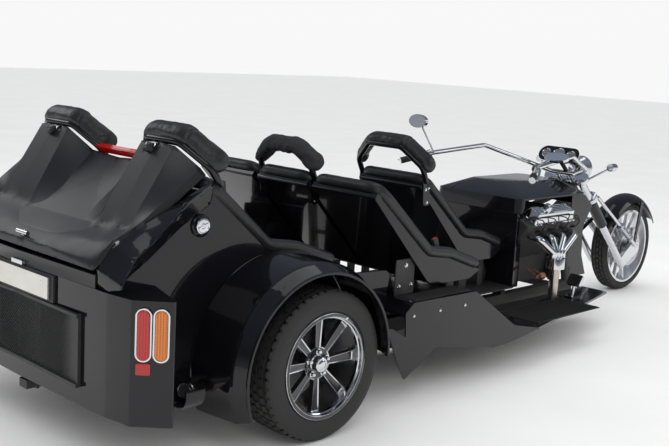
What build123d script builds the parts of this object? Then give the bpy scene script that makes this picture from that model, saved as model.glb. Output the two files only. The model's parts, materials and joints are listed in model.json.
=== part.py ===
"""A six-seat motorized trike with an open V8 engine, a raked front fork and two wide rear wheels."""

import os
from math import cos, radians, sin

from build123d import *

os.makedirs("parts", exist_ok=True)

# Frame: X forward, Y to the vehicle's left, Z up. The ground is Z = 0, the rear axle is at X = 0.
# All sizes are millimetres.

# Wheels and their places
wheelbase = 4050
rear_tyre_radius = 341
rear_tyre_width = 245
rear_rim_lip_radius = 238
rear_lip_y = 918
front_tyre_radius = 336
front_tyre_width = 130
front_rim_lip_radius = 279
spoke_count = 8
front_spoke_count = 14
fit_gap = 0.3
running_gap = 0.05

# Steering
steering_rake = 45
steering_trail = 60
fork_half_track = 125
leg_radius = 26
strut_radius = 13

# Chassis
rail_half_track = 280
rail_width = 60
rail_height = 80
rail_bottom = 180
rail_rear_x = -830
rail_front_x = 2900
neck_tube_radius = 38
brace_radius = 24

# Rear body
body_half_width = 640
body_skin = 8
body_rear_x = -945
body_bottom = 270
tail_half_width = 800
ear_half_width = 905
ledge_height = 765
hoop_base_x = -405
hoop_base_z = 1125

# Boot lid
lid_skin = 8
lid_gap = 6

# Rear fenders
fender_centre_x = -60
fender_centre_z = 350
fender_lip_radius = 410
fender_crown_radius = 468
fender_outer_y = 955
fender_inner_y = 648
fender_skin = 6

# Side boards
board_outer_y = 800
board_inner_y = rail_half_track + rail_width / 2 + 35
board_level = 200
board_thickness = 14
pod_top = 505
board_front_x = 2980
board_front_y = 530

# Seats
seat_wall = 10
roll_radius = 28
hoop_radius = 16
hoop_rise = 215
middle_hoop_rise = 150
pad_depth = 42

# Engine
engine_front_x = 2790
engine_rear_x = 2210
cover_length = 455
cover_rear_x = 2270

# Overall length, whose middle is the origin of the written files
front_fender_radius = front_tyre_radius + 62
front_fender_reach = 62
tail_bow = 12
grille_depth = 16
overall_front_x = wheelbase + front_fender_radius * sin(radians(front_fender_reach))
overall_rear_x = body_rear_x - tail_bow - grille_depth
middle_x = (overall_front_x + overall_rear_x) / 2


def save(builder, node_name):
    """Move the finished piece so that the origin lies under the middle of the trike, and write its file."""
    piece = builder.part.moved(Location((-middle_x, 0, 0)))
    piece.label = node_name
    export_step(piece, f"parts/{node_name}.step")


def outline_face(plane, corners):
    """A face from a table whose columns are across, up, corner radius."""
    with BuildSketch(plane) as profile:
        with BuildLine():
            Polyline(*[(across, up) for across, up, _ in corners], close=True)
        make_face()
        for across, up, corner_radius in corners:
            if corner_radius:
                fillet(profile.vertices().sort_by_distance((across, up))[0], corner_radius)
    return profile.sketch


def side_slab(corners, y_low, y_high, mode=Mode.ADD):
    """A slab between two Y values from a side view table of X, Z, corner radius."""
    extrude(outline_face(Plane.XZ.offset(-y_high), corners), amount=y_high - y_low, mode=mode)


def plan_slab(corners, z_low, z_high, mode=Mode.ADD):
    """A slab between two heights from a plan view table of X, Y, corner radius."""
    extrude(outline_face(Plane.XY.offset(z_low), corners), amount=z_high - z_low, mode=mode)


def rod(start, end, radius, mode=Mode.ADD):
    """A straight round bar between two points."""
    direction = Vector(*end) - Vector(*start)
    with BuildSketch(Plane(origin=start, z_dir=direction)) as section:
        Circle(radius)
    extrude(section.sketch, amount=direction.length, mode=mode)


def pipe(points, bend_radii, radius, mode=Mode.ADD):
    """A bent round bar along straight runs joined by tangent arcs."""
    with BuildLine() as path:
        FilletPolyline(*points, radius=bend_radii)
    with BuildSketch(Plane(origin=path.line @ 0, z_dir=path.line % 0)) as section:
        Circle(radius)
    sweep(section.sketch, path=path.line, mode=mode)


def ring(axis_x, axis_z, section_corners, sweep_angle=360):
    """A part revolved about a line along Y, from a table of Y, radius, corner radius."""
    plane = Plane(origin=(axis_x, 0, axis_z), x_dir=(0, 1, 0), z_dir=(1, 0, 0))
    revolve(
        outline_face(plane, section_corners),
        axis=Axis((axis_x, 0, axis_z), (0, 1, 0)),
        revolution_arc=sweep_angle,
    )


# Wheels
def make_tyre(node_name, axle_x, radius, width, bead_radius, y_mid):
    """A tyre with square shoulders whose beads sit on the rim."""
    half = width / 2
    inner_half = half - 34
    with BuildPart() as tyre:
        ring(axle_x, radius, [
            (y_mid - inner_half, bead_radius, 0),
            (y_mid - half, bead_radius + 26, 12),
            (y_mid - half, radius - 28, 14),
            (y_mid - half + 24, radius, 14),
            (y_mid + half - 24, radius, 14),
            (y_mid + half, radius - 28, 14),
            (y_mid + half, bead_radius + 26, 12),
            (y_mid + inner_half, bead_radius, 0),
        ])
    save(tyre, node_name)


def make_rim(node_name, axle_x, axle_z, lip_radius, width, y_mid, side, spokes, spoke_width, dish, bore, capped):
    """A dished rim: a barrel with two lips, a hub and straight tapered spokes."""
    half = width / 2
    bead = lip_radius - 11
    wall = 7
    face_y = y_mid + side * (half - dish)
    hub_radius = 74
    hub_depth = 46
    with BuildPart() as rim:
        ring(axle_x, axle_z, [
            (y_mid - half, lip_radius, 2),
            (y_mid - half, bead - wall, 2),
            (y_mid + half, bead - wall, 2),
            (y_mid + half, lip_radius, 2),
            (y_mid + half - 11, lip_radius, 2),
            (y_mid + half - 11, bead, 0),
            (y_mid - half + 11, bead, 0),
            (y_mid - half + 11, lip_radius, 2),
        ])
        spoke_plane = Plane(origin=(axle_x, face_y, axle_z), x_dir=(1, 0, 0), z_dir=(0, -side, 0))
        with BuildSketch(spoke_plane):
            with PolarLocations(0, spokes):
                Polygon(
                    (hub_radius - 14, -spoke_width * 0.32),
                    (bead - wall + 1, -spoke_width * 0.5),
                    (bead - wall + 1, spoke_width * 0.5),
                    (hub_radius - 14, spoke_width * 0.32),
                    align=None,
                )
        extrude(amount=26)
        with BuildSketch(spoke_plane):
            Circle(hub_radius)
        extrude(amount=hub_depth)
        with BuildSketch(spoke_plane):
            Circle(34)
        extrude(amount=-22)
        with BuildSketch(spoke_plane.offset(-22)):
            Circle(bore)
        extrude(amount=hub_depth + 60, mode=Mode.SUBTRACT)
        if capped:
            with BuildSketch(spoke_plane.offset(-28)):
                Circle(30)
            extrude(amount=8)
    save(rim, node_name)


stub_radius = 20
rear_rim_width = rear_tyre_width - 5
rear_dish = 62
rear_wheel_y = rear_lip_y - rear_rim_width / 2
rear_hub_face_y = rear_wheel_y + rear_rim_width / 2 - rear_dish
rear_bead = rear_rim_lip_radius - 11
front_bead = front_rim_lip_radius - 11
front_rim_width = front_tyre_width - 14
front_dish = 30

for side, side_name in ((1, "left"), (-1, "right")):
    make_tyre(
        f"rear_tyre_{side_name}", 0, rear_tyre_radius, rear_tyre_width, rear_bead + fit_gap, side * rear_wheel_y
    )
    make_rim(
        f"rear_rim_{side_name}", 0, rear_tyre_radius, rear_rim_lip_radius, rear_rim_width,
        side * rear_wheel_y, side, spoke_count, 44, rear_dish, stub_radius + running_gap, True,
    )

make_tyre("front_tyre", wheelbase, front_tyre_radius, front_tyre_width, front_bead + fit_gap, 0)
make_rim(
    "front_rim", wheelbase, front_tyre_radius, front_rim_lip_radius, front_rim_width,
    0, -1, front_spoke_count, 26, front_dish + 14, stub_radius + running_gap, False,
)

disc_radius = 146
disc_thickness = 7
front_disc_y = 74


def make_discs(node_name, axle_x, axle_z, disc_ys, bore):
    """Flat brake discs, each with a ring of vent holes and a raised carrier."""
    with BuildPart() as discs:
        for disc_y in disc_ys:
            disc_plane = Plane(origin=(axle_x, disc_y - disc_thickness / 2, axle_z), x_dir=(1, 0, 0), z_dir=(0, 1, 0))
            with BuildSketch(disc_plane):
                Circle(disc_radius)
                Circle(bore, mode=Mode.SUBTRACT)
                with PolarLocations(disc_radius - 34, 12):
                    Circle(7, mode=Mode.SUBTRACT)
            extrude(amount=disc_thickness)
    save(discs, node_name)


make_discs("front_discs", wheelbase, front_tyre_radius, (front_disc_y, -front_disc_y), stub_radius + running_gap)

# Steering axis and fork. The axis leans back by the rake and meets the ground ahead of the axle.
axis_ground_x = wheelbase + steering_trail
axis_back = sin(radians(steering_rake))
axis_up = cos(radians(steering_rake))


def axis_point(along, ahead=0, y=0):
    """A point given by its distance up the steering axis from the ground and ahead of the axis."""
    return (axis_ground_x - along * axis_back + ahead * axis_up, y, along * axis_up + ahead * axis_back)


neck_low = 1090
neck_high = 1250
leg_offset = -18
leg_low = 330
leg_high = 1290
neck_gap = 4

with BuildPart() as fork:
    for side in (1, -1):
        y = side * fork_half_track
        rod(axis_point(leg_low, leg_offset, y), axis_point(leg_high, leg_offset, y), leg_radius)
        rod((wheelbase - 30, y + side * 18, front_tyre_radius + 20), axis_point(1010, 62, y), strut_radius)
        link_low = axis_point(leg_low + 20, leg_offset)
        side_slab([
            (link_low[0] - 34, link_low[2] - 12, 14),
            (link_low[0] + 30, link_low[2] - 34, 14),
            (wheelbase + 42, front_tyre_radius - 24, 20),
            (wheelbase + 36, front_tyre_radius + 40, 20),
            (wheelbase - 60, front_tyre_radius + 44, 20),
            (link_low[0] - 16, link_low[2] + 36, 14),
        ], min(y, y - side * 14) - 7, max(y, y - side * 14) + 7)
    for along in (neck_low - 34, neck_high + neck_gap):
        plate_plane = Plane(origin=axis_point(along), x_dir=(0, 1, 0), z_dir=(-axis_back, 0, axis_up))
        with BuildSketch(plate_plane):
            SlotCenterToCenter(2 * fork_half_track, 96)
        extrude(amount=34 - neck_gap)
    rod(axis_point(neck_low - 10), axis_point(neck_high + 10), 14)
    rod((wheelbase, -fork_half_track - 8, front_tyre_radius), (wheelbase, fork_half_track + 8, front_tyre_radius),
        stub_radius)
save(fork, "fork")

shroud_radius = 38
with BuildPart() as fork_shrouds:
    for side in (1, -1):
        y = side * fork_half_track
        low = axis_point(800, leg_offset, y)
        high = axis_point(neck_low - 44, leg_offset, y)
        rod(low, high, shroud_radius)
        rod(axis_point(790, leg_offset, y), axis_point(neck_low - 40, leg_offset, y), leg_radius + fit_gap, Mode.SUBTRACT)
save(fork_shrouds, "fork_shrouds")

# Front fender, a crowned band over the front wheel carried on two stays from the fork legs
front_fender_half = 98
front_fender_skin = 5
with BuildPart() as front_fender:
    crown_plane = Plane(origin=(wheelbase, 0, front_tyre_radius), x_dir=(0, 1, 0), z_dir=(0, 0, 1))
    fender_plane = Plane(origin=(wheelbase, 0, front_tyre_radius), x_dir=(0, 1, 0), z_dir=(1, 0, 0))
    with BuildSketch(fender_plane) as fender_section:
        with BuildLine():
            ThreePointArc(
                (-front_fender_half, front_fender_radius - 60),
                (0, front_fender_radius),
                (front_fender_half, front_fender_radius - 60),
            )
            Line((front_fender_half, front_fender_radius - 60), (front_fender_half - 7, front_fender_radius - 62))
            ThreePointArc(
                (front_fender_half - 7, front_fender_radius - 62),
                (0, front_fender_radius - front_fender_skin),
                (-front_fender_half + 7, front_fender_radius - 62),
            )
            Line((-front_fender_half + 7, front_fender_radius - 62), (-front_fender_half, front_fender_radius - 60))
        make_face()
    wheel_axis = Axis((wheelbase, 0, front_tyre_radius), (0, 1, 0))
    revolve(fender_section.sketch, axis=wheel_axis, revolution_arc=front_fender_reach)
    revolve(fender_section.sketch, axis=wheel_axis, revolution_arc=-52)
    for side in (1, -1):
        stay_low = min(side * 94, side * (fork_half_track - 21))
        side_slab([
            (wheelbase + 10, front_tyre_radius + 14, 0), (wheelbase + 34, front_tyre_radius + 14, 0),
            (wheelbase + 102, front_tyre_radius + 334, 0), (wheelbase + 64, front_tyre_radius + 342, 0),
        ], stay_low, stay_low + 10)
        side_slab([
            (wheelbase - 462, 470, 0), (wheelbase - 428, 452, 0), (wheelbase - 262, 536, 0), (wheelbase - 274, 562, 0),
        ], stay_low, stay_low + 10)
    add(fork.part, mode=Mode.SUBTRACT)
save(front_fender, "front_fender")

# Handlebars, pulled back towards the rider
bar_radius = 16
grip_radius = 19
riser_along = neck_high + 34
bar_centre = axis_point(riser_along + 42, -10)
bar_half_table = [
    # X, Y, Z from the centre clamp out to the grip's end
    (bar_centre[0], 90, bar_centre[2]),
    (bar_centre[0] - 95, 235, bar_centre[2] + 54),
    (2700, 350, 1100),
    (2215, 412, 1055),
    (2030, 515, 1000),
]
with BuildPart() as handlebars:
    for side in (1, -1):
        points = [(x, side * y, z) for x, y, z in bar_half_table]
        pipe([(bar_centre[0], 0, bar_centre[2])] + points, [30, 60, 90, 60], bar_radius)
        rod(axis_point(riser_along, -10, side * 50), (bar_centre[0], side * 50, bar_centre[2]), 19)
        rod(points[-1], tuple(0.35 * a + 0.65 * b for a, b in zip(points[-2], points[-1])), grip_radius)
    add(fork.part, mode=Mode.SUBTRACT)
save(handlebars, "handlebars")

# Instrument pod with three dials, on a post from the upper fork plate
pod_tilt = 35
pod_centre = (bar_centre[0] - 80, 0, bar_centre[2] + 134)
pod_normal = (-cos(radians(pod_tilt)), 0, sin(radians(pod_tilt)))
dial_table = [
    # Y, dial radius
    (0, 46),
    (98, 34),
    (-98, 34),
]
with BuildPart() as dash_pod:
    face_plane = Plane(origin=pod_centre, x_dir=(0, -1, 0), z_dir=pod_normal)
    with BuildSketch(face_plane):
        SlotCenterToCenter(200, 118)
    extrude(amount=-78, taper=22)
    with BuildSketch(face_plane):
        with Locations(*[(y, 0) for y, _ in dial_table]):
            Circle(30, mode=Mode.ADD)
    extrude(amount=-8, mode=Mode.SUBTRACT)
    rod(axis_point(riser_along, 26), (pod_centre[0] + 45, 0, pod_centre[2] - 60), 15)
    add(fork.part, mode=Mode.SUBTRACT)
save(dash_pod, "dash_pod")

# Headlamp, held ahead of the fork plates
lamp_centre = axis_point(1200, 150)
with BuildPart() as headlamp:
    with BuildSketch(Plane(origin=lamp_centre, z_dir=(1, 0, 0))) as lens_circle:
        Circle(88)
    extrude(lens_circle.sketch, amount=26)
    with BuildSketch(Plane(origin=lamp_centre, z_dir=(-1, 0, 0))) as shell_circle:
        Circle(86)
    extrude(shell_circle.sketch, amount=66, taper=28)
    rod((lamp_centre[0] - 20, 0, lamp_centre[2]), axis_point(neck_high + 20, 49), 13)
    add(fork.part, mode=Mode.SUBTRACT)
save(headlamp, "headlamp")

# Mirrors: the left one stands on a stem, the right one lies low beside its clamp
with BuildPart() as mirrors:
    left_foot = (2225, 411, 1056 + bar_radius)
    rod(left_foot, (2135, 445, 1232), 6)
    with BuildSketch(Plane(origin=(2120, 470, 1262), x_dir=(0, 1, 0), z_dir=(-1, 0, 0.1))) as left_head:
        Ellipse(74, 44)
    extrude(left_head.sketch, amount=-22)
    right_foot = (2260, -407, 1059 + bar_radius)
    rod(right_foot, (2280, -470, 1120), 6)
    with BuildSketch(Plane(origin=(2285, -500, 1130), x_dir=(0, 1, 0), z_dir=(-0.6, 0, 0.8))) as right_head:
        Ellipse(84, 40)
    extrude(right_head.sketch, amount=-18)
    add(handlebars.part, mode=Mode.SUBTRACT)
save(mirrors, "mirrors")

# Turn signals on short stalks from the upper fork plate
with BuildPart() as front_indicators:
    for side in (1, -1):
        stalk_start = axis_point(neck_high + 20, 10, side * (fork_half_track + 48))
        stalk_end = (stalk_start[0] + 90, side * 290, stalk_start[2] + 90)
        rod(stalk_start, stalk_end, 7)
        rod((stalk_end[0] - 26, stalk_end[1], stalk_end[2]), (stalk_end[0] + 34, stalk_end[1], stalk_end[2]), 26)
    add(fork.part, mode=Mode.SUBTRACT)
save(front_indicators, "front_indicators")

# Chassis: two rails, cross members, and the braced neck with its head tube
rail_top = rail_bottom + rail_height
with BuildPart() as frame:
    for side in (1, -1):
        y = side * rail_half_track
        with Locations(((rail_rear_x + rail_front_x) / 2, y, rail_bottom + rail_height / 2)):
            Box(rail_front_x - rail_rear_x, rail_width, rail_height)
        rod((rail_front_x - 30, y, rail_bottom + 40), axis_point(neck_low + 60), brace_radius)
        rod((rail_front_x - 30, y, rail_bottom + 40), (rail_front_x - 30, side * 205, 620), brace_radius)
        rod((rail_front_x - 30, side * 205, 620), axis_point(neck_high - 80), brace_radius)
    rod(axis_point(neck_low), axis_point(neck_high), neck_tube_radius)
    rod(axis_point(neck_low - 20), axis_point(neck_high + 20), 14 + running_gap, Mode.SUBTRACT)
save(frame, "frame")

with BuildPart() as frame_cross_members:
    for cross_x in (rail_rear_x + 30, -420, 420, 1300, 2050, rail_front_x - 30):
        with Locations((cross_x, 0, rail_bottom + 20)):
            Box(50, 2 * rail_half_track - rail_width, 40)
    add(frame.part, mode=Mode.SUBTRACT)
save(frame_cross_members, "frame_cross_members")

# Rear axle: a centre housing, tubes out to the hubs and stub ends inside the wheels
hub_inner_y = rear_hub_face_y - 46
with BuildPart() as rear_axle:
    ring(0, rear_tyre_radius, [
        (-hub_inner_y + 2, 40, 0),
        (-160, 40, 0),
        (-90, 115, 30),
        (90, 115, 30),
        (160, 40, 0),
        (hub_inner_y - 2, 40, 0),
        (hub_inner_y - 2, stub_radius, 0),
        (rear_hub_face_y + 12, stub_radius, 0),
        (rear_hub_face_y + 12, 0, 0),
        (-rear_hub_face_y - 12, 0, 0),
        (-rear_hub_face_y - 12, stub_radius, 0),
        (-hub_inner_y + 2, stub_radius, 0),
    ])
    for side in (1, -1):
        side_slab([
            (-30, rail_top, 0), (30, rail_top, 0), (52, 330, 0), (-52, 330, 0),
        ], side * 280 - 12, side * 280 + 12)
save(rear_axle, "rear_axle")

# Engine: block with two banks, sump and gearbox, then the drive shaft
with BuildPart() as engine:
    with BuildSketch(Plane.YZ.offset(engine_rear_x)):
        Polygon(
            (-150, 262), (150, 262), (165, 430), (300, 560), (398, 688), (284, 754),
            (-284, 754), (-398, 688), (-300, 560), (-165, 430), align=None,
        )
    extrude(amount=engine_front_x - engine_rear_x)
    with BuildSketch(Plane.YZ.offset(engine_rear_x)) as bell:
        with Locations((0, 350)):
            Circle(128)
    with BuildSketch(Plane.YZ.offset(1500)) as tail:
        with Locations((0, 352)):
            Circle(62)
    loft([bell.sketch, tail.sketch])
save(engine, "engine")

with BuildPart() as drive_shaft:
    rod((100, 0, rear_tyre_radius + 2), (1510, 0, 352), 36)
    add(engine.part, mode=Mode.SUBTRACT)
    add(rear_axle.part, mode=Mode.SUBTRACT)
save(drive_shaft, "drive_shaft")

# Valve covers, one on each bank, with a flange, a raised lid and a breather cap
cover_width = 132
cover_table = [
    # side, flange outer Y, flange outer Z
    (1, 398, 688),
    (-1, 398, 688),
]
cover_lean = 30
with BuildPart() as valve_covers:
    for side, flange_y, flange_z in cover_table:
        across = (0, -side * cos(radians(cover_lean)), sin(radians(cover_lean)))
        upward = (0, side * sin(radians(cover_lean)), cos(radians(cover_lean)))
        corner = Vector(cover_rear_x + cover_length / 2, side * flange_y, flange_z)
        middle = corner + Vector(*across) * (cover_width / 2)
        seat_plane = Plane(origin=middle, x_dir=(1, 0, 0), z_dir=upward)
        with BuildSketch(seat_plane) as flange:
            RectangleRounded(cover_length, cover_width, 12)
        extrude(flange.sketch, amount=10)
        with BuildSketch(seat_plane.offset(10)) as lid_foot:
            RectangleRounded(cover_length - 22, cover_width - 20, 16)
        with BuildSketch(seat_plane.offset(66)) as lid_head:
            RectangleRounded(cover_length - 46, cover_width - 52, 16)
        loft([lid_foot.sketch, lid_head.sketch])
        with BuildSketch(seat_plane.offset(66)) as breather:
            with Locations((-70, 0)):
                Circle(25)
        extrude(breather.sketch, amount=34)
    add(engine.part, mode=Mode.SUBTRACT)
save(valve_covers, "valve_covers")

# Headers: four port pipes on each bank gathered in one collector
port_table = [
    # X of the port
    2300, 2430, 2560, 2690,
]
collector_x = 2440
collector_y = 462
collector_z = 470
with BuildPart() as headers:
    for side in (1, -1):
        for port_x in port_table:
            lean_x = collector_x + (port_x - collector_x) * 0.25
            pipe([
                (port_x, side * 325, 628),
                (port_x, side * 425, 606),
                (lean_x, side * collector_y, 520),
                (lean_x, side * collector_y, collector_z),
            ], [28, 24], 24)
        rod((collector_x, side * collector_y, collector_z + 16), (collector_x, side * collector_y, collector_z - 50), 58)
    add(engine.part, mode=Mode.SUBTRACT)
save(headers, "headers")

# Exhaust pipes: down from the collectors, back under the boards and out at the rear corners
pipe_radius = 30
exhaust_level = 150
tip_x = -640
tip_y = 772
tip_z = 322
pipe_y = 560
pipe_level = 225
collar_radius = pipe_radius + 6
front_joint_x = 1900
front_joint_share = (2250 - front_joint_x) / (2250 - 1150)
front_joint_y = 470 + front_joint_share * (pipe_y - 470)
front_joint_z = exhaust_level + front_joint_share * 20
rear_joint_x = -330
rail_outer_y = rail_half_track + rail_width / 2
hanger_length = pipe_y - 20 - rail_outer_y
hanger_y = rail_outer_y + hanger_length / 2
with BuildPart() as down_pipes:
    for side in (1, -1):
        joint = (front_joint_x, side * front_joint_y, front_joint_z)
        before_joint = (front_joint_x + 33, side * (front_joint_y - 2.7), front_joint_z - 0.6)
        pipe([
            (collector_x, side * collector_y, collector_z - 50),
            (collector_x, side * collector_y, exhaust_level),
            (2250, side * 470, exhaust_level),
            joint,
        ], [70, 90], pipe_radius)
        rod(before_joint, joint, collar_radius)
save(down_pipes, "down_pipes")

with BuildPart() as exhaust:
    for side in (1, -1):
        pipe([
            (front_joint_x, side * front_joint_y, front_joint_z),
            (1150, side * pipe_y, exhaust_level + 20),
            (560, side * pipe_y, pipe_level),
            (rear_joint_x, side * pipe_y, pipe_level),
        ], [200, 150], pipe_radius)
        with BuildSketch(Plane.XY.offset(rail_bottom + 10)) as hanger:
            with Locations((-250, side * hanger_y), (900, side * hanger_y)):
                Rectangle(30, hanger_length)
        extrude(hanger.sketch, amount=8)
save(exhaust, "exhaust")

with BuildPart() as tail_pipes:
    for side in (1, -1):
        pipe([
            (rear_joint_x, side * pipe_y, pipe_level),
            (-420, side * pipe_y, pipe_level),
            (-560, side * 740, tip_z - 14),
            (tip_x, side * tip_y, tip_z),
        ], [120, 30], pipe_radius)
        rod((rear_joint_x, side * pipe_y, pipe_level), (rear_joint_x - 22, side * pipe_y, pipe_level), collar_radius)
save(tail_pipes, "tail_pipes")

# Engine top cover: a domed lid that drops to a rear wall, lifted clear over the valve covers
cowl_rear_x = 2180
cowl_front_x = 2965
cowl_half = 332
cowl_low = 765
cowl_side_low = 838
cowl_top = 922
cowl_skin = 6
with BuildPart() as engine_cover:
    for inset in (0, cowl_skin):
        mode = Mode.SUBTRACT if inset else Mode.ADD
        cowl_middle_x = (cowl_rear_x + cowl_front_x) / 2
        length = cowl_front_x - cowl_rear_x
        sections = []
        for level, length_cut, half_width in ((cowl_low, 0, cowl_half), (850, 10, cowl_half - 4), (cowl_top, 230, 170)):
            with BuildSketch(Plane.XY.offset(level - inset)) as outline:
                with Locations((cowl_middle_x + length_cut * 0.12, 0)):
                    RectangleRounded(length - length_cut - 2 * inset, 2 * (half_width - inset), 60 - inset)
            sections.append(outline.sketch)
        loft(sections, ruled=True, mode=mode)
    for side in (1, -1):
        side_slab([
            (cowl_rear_x + 62, cowl_low - 10, 0), (cowl_rear_x + 74, cowl_side_low, 0),
            (cowl_front_x + 10, cowl_side_low, 0), (cowl_front_x + 10, cowl_low - 10, 0),
        ], min(side * 240, side * 360), max(side * 240, side * 360), Mode.SUBTRACT)
    add(frame.part, mode=Mode.SUBTRACT)
save(engine_cover, "engine_cover")

# Rear wall of the engine bay, in front of the rider's knees
wall_low = 300
with BuildPart() as knee_wall:
    with BuildSketch(Plane.XY.offset(wall_low)) as bay:
        with Locations((cowl_rear_x + 30, 0)):
            Rectangle(60, 2 * cowl_half)
        with Locations((cowl_rear_x + 36, 0)):
            Rectangle(60, 2 * (cowl_half - 6), mode=Mode.SUBTRACT)
    extrude(bay.sketch, amount=cowl_low - fit_gap - wall_low)
    add(engine.part, mode=Mode.SUBTRACT)
    add(frame.part, mode=Mode.SUBTRACT)
save(knee_wall, "knee_wall")

# Radiator and its curved side cheeks ahead of the engine
with BuildPart() as radiator:
    with Locations((engine_front_x + 42, 0, 480)):
        Box(56, 360, 440)
    for side in (1, -1):
        with Locations((engine_front_x + 42, side * 200, 480)):
            Box(62, 40, 460)
    add(frame.part, mode=Mode.SUBTRACT)
save(radiator, "radiator")

cheek_y = 246
with BuildPart() as cheeks:
    for side in (1, -1):
        y_low = min(side * cheek_y, side * (cheek_y + 6))
        side_slab([
            (2905, 262, 0), (3150, 262, 0), (3085, 400, 90), (3070, 600, 120), (3165, 735, 0),
            (3060, 820, 40), (2905, 820, 0),
        ], y_low, y_low + 6)
    add(frame.part, mode=Mode.SUBTRACT)
save(cheeks, "cheeks")

# Side boards: a step box beside the middle seats, a slope and a low foot board that narrows forward
board_table = [
    # X, Z, corner radius along the upper surface
    (640, 455, 0),
    (700, pod_top, 20),
    (1190, pod_top - 5, 60),
    (1560, 262, 120),
    (1790, board_level + board_thickness, 60),
    (board_front_x, board_level + board_thickness, 0),
]
side_boards = {}
for side, side_name in ((1, "left"), (-1, "right")):
    y_low = min(side * board_inner_y, side * board_outer_y)
    with BuildPart() as board:
        under = [(x, z - board_thickness, corner) for x, z, corner in reversed(board_table)]
        side_slab(board_table + under, y_low, y_low + board_outer_y - board_inner_y)
        outer_low = min(side * (board_outer_y - 8), side * board_outer_y)
        side_slab([
            (640, 460, 0), (700, pod_top, 0), (1190, pod_top - 5, 0), (1560, 262, 0), (1790, 205, 0),
            (1500, 168, 30), (1380, 168, 60), (900, 250, 100), (655, 290, 20),
        ], outer_low, outer_low + 8)
        side_slab([
            (516, 399, 4), (548, 398, 10), (640, 345, 0), (880, 262, 0), (860, 228, 20), (700, 148, 10),
            (658, 124, 6), (610, 200, 20), (560, 300, 40),
        ], outer_low, outer_low + 8)
        with BuildSketch(Plane.XY.offset(board_level - 120)) as corner_cut:
            Polygon(
                (1780, side * (board_outer_y + 5)),
                (board_front_x + 5, side * board_front_y),
                (board_front_x + 5, side * (board_outer_y + 5)),
                align=None,
            )
        extrude(corner_cut.sketch, amount=300, mode=Mode.SUBTRACT)
        with BuildSketch(Plane.XY.offset(board_level - 60)) as pipe_hole:
            with Locations((collector_x, side * collector_y)):
                Circle(pipe_radius + 6)
        extrude(pipe_hole.sketch, amount=120, mode=Mode.SUBTRACT)
    side_boards[side] = board
    save(board, f"side_board_{side_name}")

# Floor between the rear tub and the engine bay, standing on the rails
floor_level = 300
with BuildPart() as floor_pan:
    with BuildSketch(Plane.XY.offset(rail_top)) as ribs:
        for rib_x in (460, 1300, 2120):
            with Locations((rib_x, 0)):
                Rectangle(40, 2 * rail_half_track + rail_width)
    extrude(ribs.sketch, amount=floor_level - rail_top)
    with BuildSketch(Plane.XY.offset(floor_level)) as deck:
        with Locations(((340 + cowl_rear_x - 2) / 2, 0)):
            Rectangle(cowl_rear_x - 2 - 340, 2 * (board_inner_y - 3))
        with Locations(((340 + 636) / 2, 0)):
            Rectangle(636 - 340, 2 * (body_half_width - body_skin - 2))
    extrude(deck.sketch, amount=8)
    add(engine.part, mode=Mode.SUBTRACT)
    add(drive_shaft.part, mode=Mode.SUBTRACT)
save(floor_pan, "floor_pan")

# Seats. Every shell is one bucket seen from the side, placed by the table.
seat_table = [
    # row, X and Z of the hip corner of the side roll, Y centre, width, length of the back, reach to the front
    ("rear", -113, 848, 411, 440, 450, 432),
    ("rear", -113, 848, -411, 440, 450, 432),
    ("middle", 946, 721, 450, 440, 530, 432),
    ("middle", 946, 721, 0, 380, 530, 432),
    ("middle", 946, 721, -450, 440, 530, 432),
    ("rider", 1786, 671, 0, 480, 530, 385),
]
back_lean = (-0.757, 0.652)
back_face = (0.652, 0.757)
hip = (-12, -32)
knee = (165, -57)
shell_back_depth = 34
shell_floor = -185
roll_inset = roll_radius - 20
roll_rise = roll_radius - 4


def back_top(back_length):
    """The top of the back's rim from the hip corner."""
    return hip[0] + back_length * back_lean[0], hip[1] + back_length * back_lean[1]


def seat_outline(hip_x, hip_z, back_length, front_reach):
    """Side view of a seat shell: X, Z, corner radius."""
    top_x, top_z = back_top(back_length)
    front_z = -150 + (432 - front_reach) * 0.35
    outline = [
        (top_x, top_z, 0),
        (top_x - shell_back_depth * back_face[0], top_z - shell_back_depth * back_face[1], 12),
        (18, shell_floor, 110),
        (front_reach - 87, shell_floor - 5, 50),
        (front_reach, front_z, 0),
        (knee[0], knee[1], 0),
        (hip[0], hip[1], 40),
    ]
    return [(hip_x + x, hip_z + z, corner) for x, z, corner in outline]


seats = [seat[1:] for seat in seat_table]
with BuildPart() as seat_shells:
    for hip_x, hip_z, centre_y, width, back_length, front_reach in seats:
        outline = seat_outline(hip_x, hip_z, back_length, front_reach)
        side_slab(outline, centre_y - width / 2, centre_y + width / 2)
        face = outline_face(Plane.XZ.offset(-(centre_y + width / 2 - seat_wall)), outline)
        pocket = offset(face, amount=-seat_wall, kind=Kind.INTERSECTION, mode=Mode.PRIVATE)
        for lift in (0, 14, 28):
            shifted = Pos(lift * 0.6, 0, lift) * pocket
            extrude(shifted, amount=width - 2 * seat_wall, dir=(0, -1, 0), mode=Mode.SUBTRACT)
save(seat_shells, "seat_shells")

with BuildPart() as seat_pads:
    for hip_x, hip_z, centre_y, width, back_length, front_reach in seats:
        outline = seat_outline(hip_x, hip_z, back_length, front_reach)
        inner_y = centre_y + width / 2 - seat_wall - fit_gap
        face = outline_face(Plane.XZ.offset(-inner_y), outline)
        pad_face = offset(face, amount=-seat_wall - fit_gap, kind=Kind.INTERSECTION, mode=Mode.PRIVATE)
        extrude(pad_face, amount=width - 2 * seat_wall - 2 * fit_gap, dir=(0, -1, 0))
        hollow = Pos(pad_depth * 0.9, 0, 118) * pad_face
        extrude(hollow, amount=width, dir=(0, -1, 0), mode=Mode.SUBTRACT)
save(seat_pads, "seat_pads")

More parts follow.
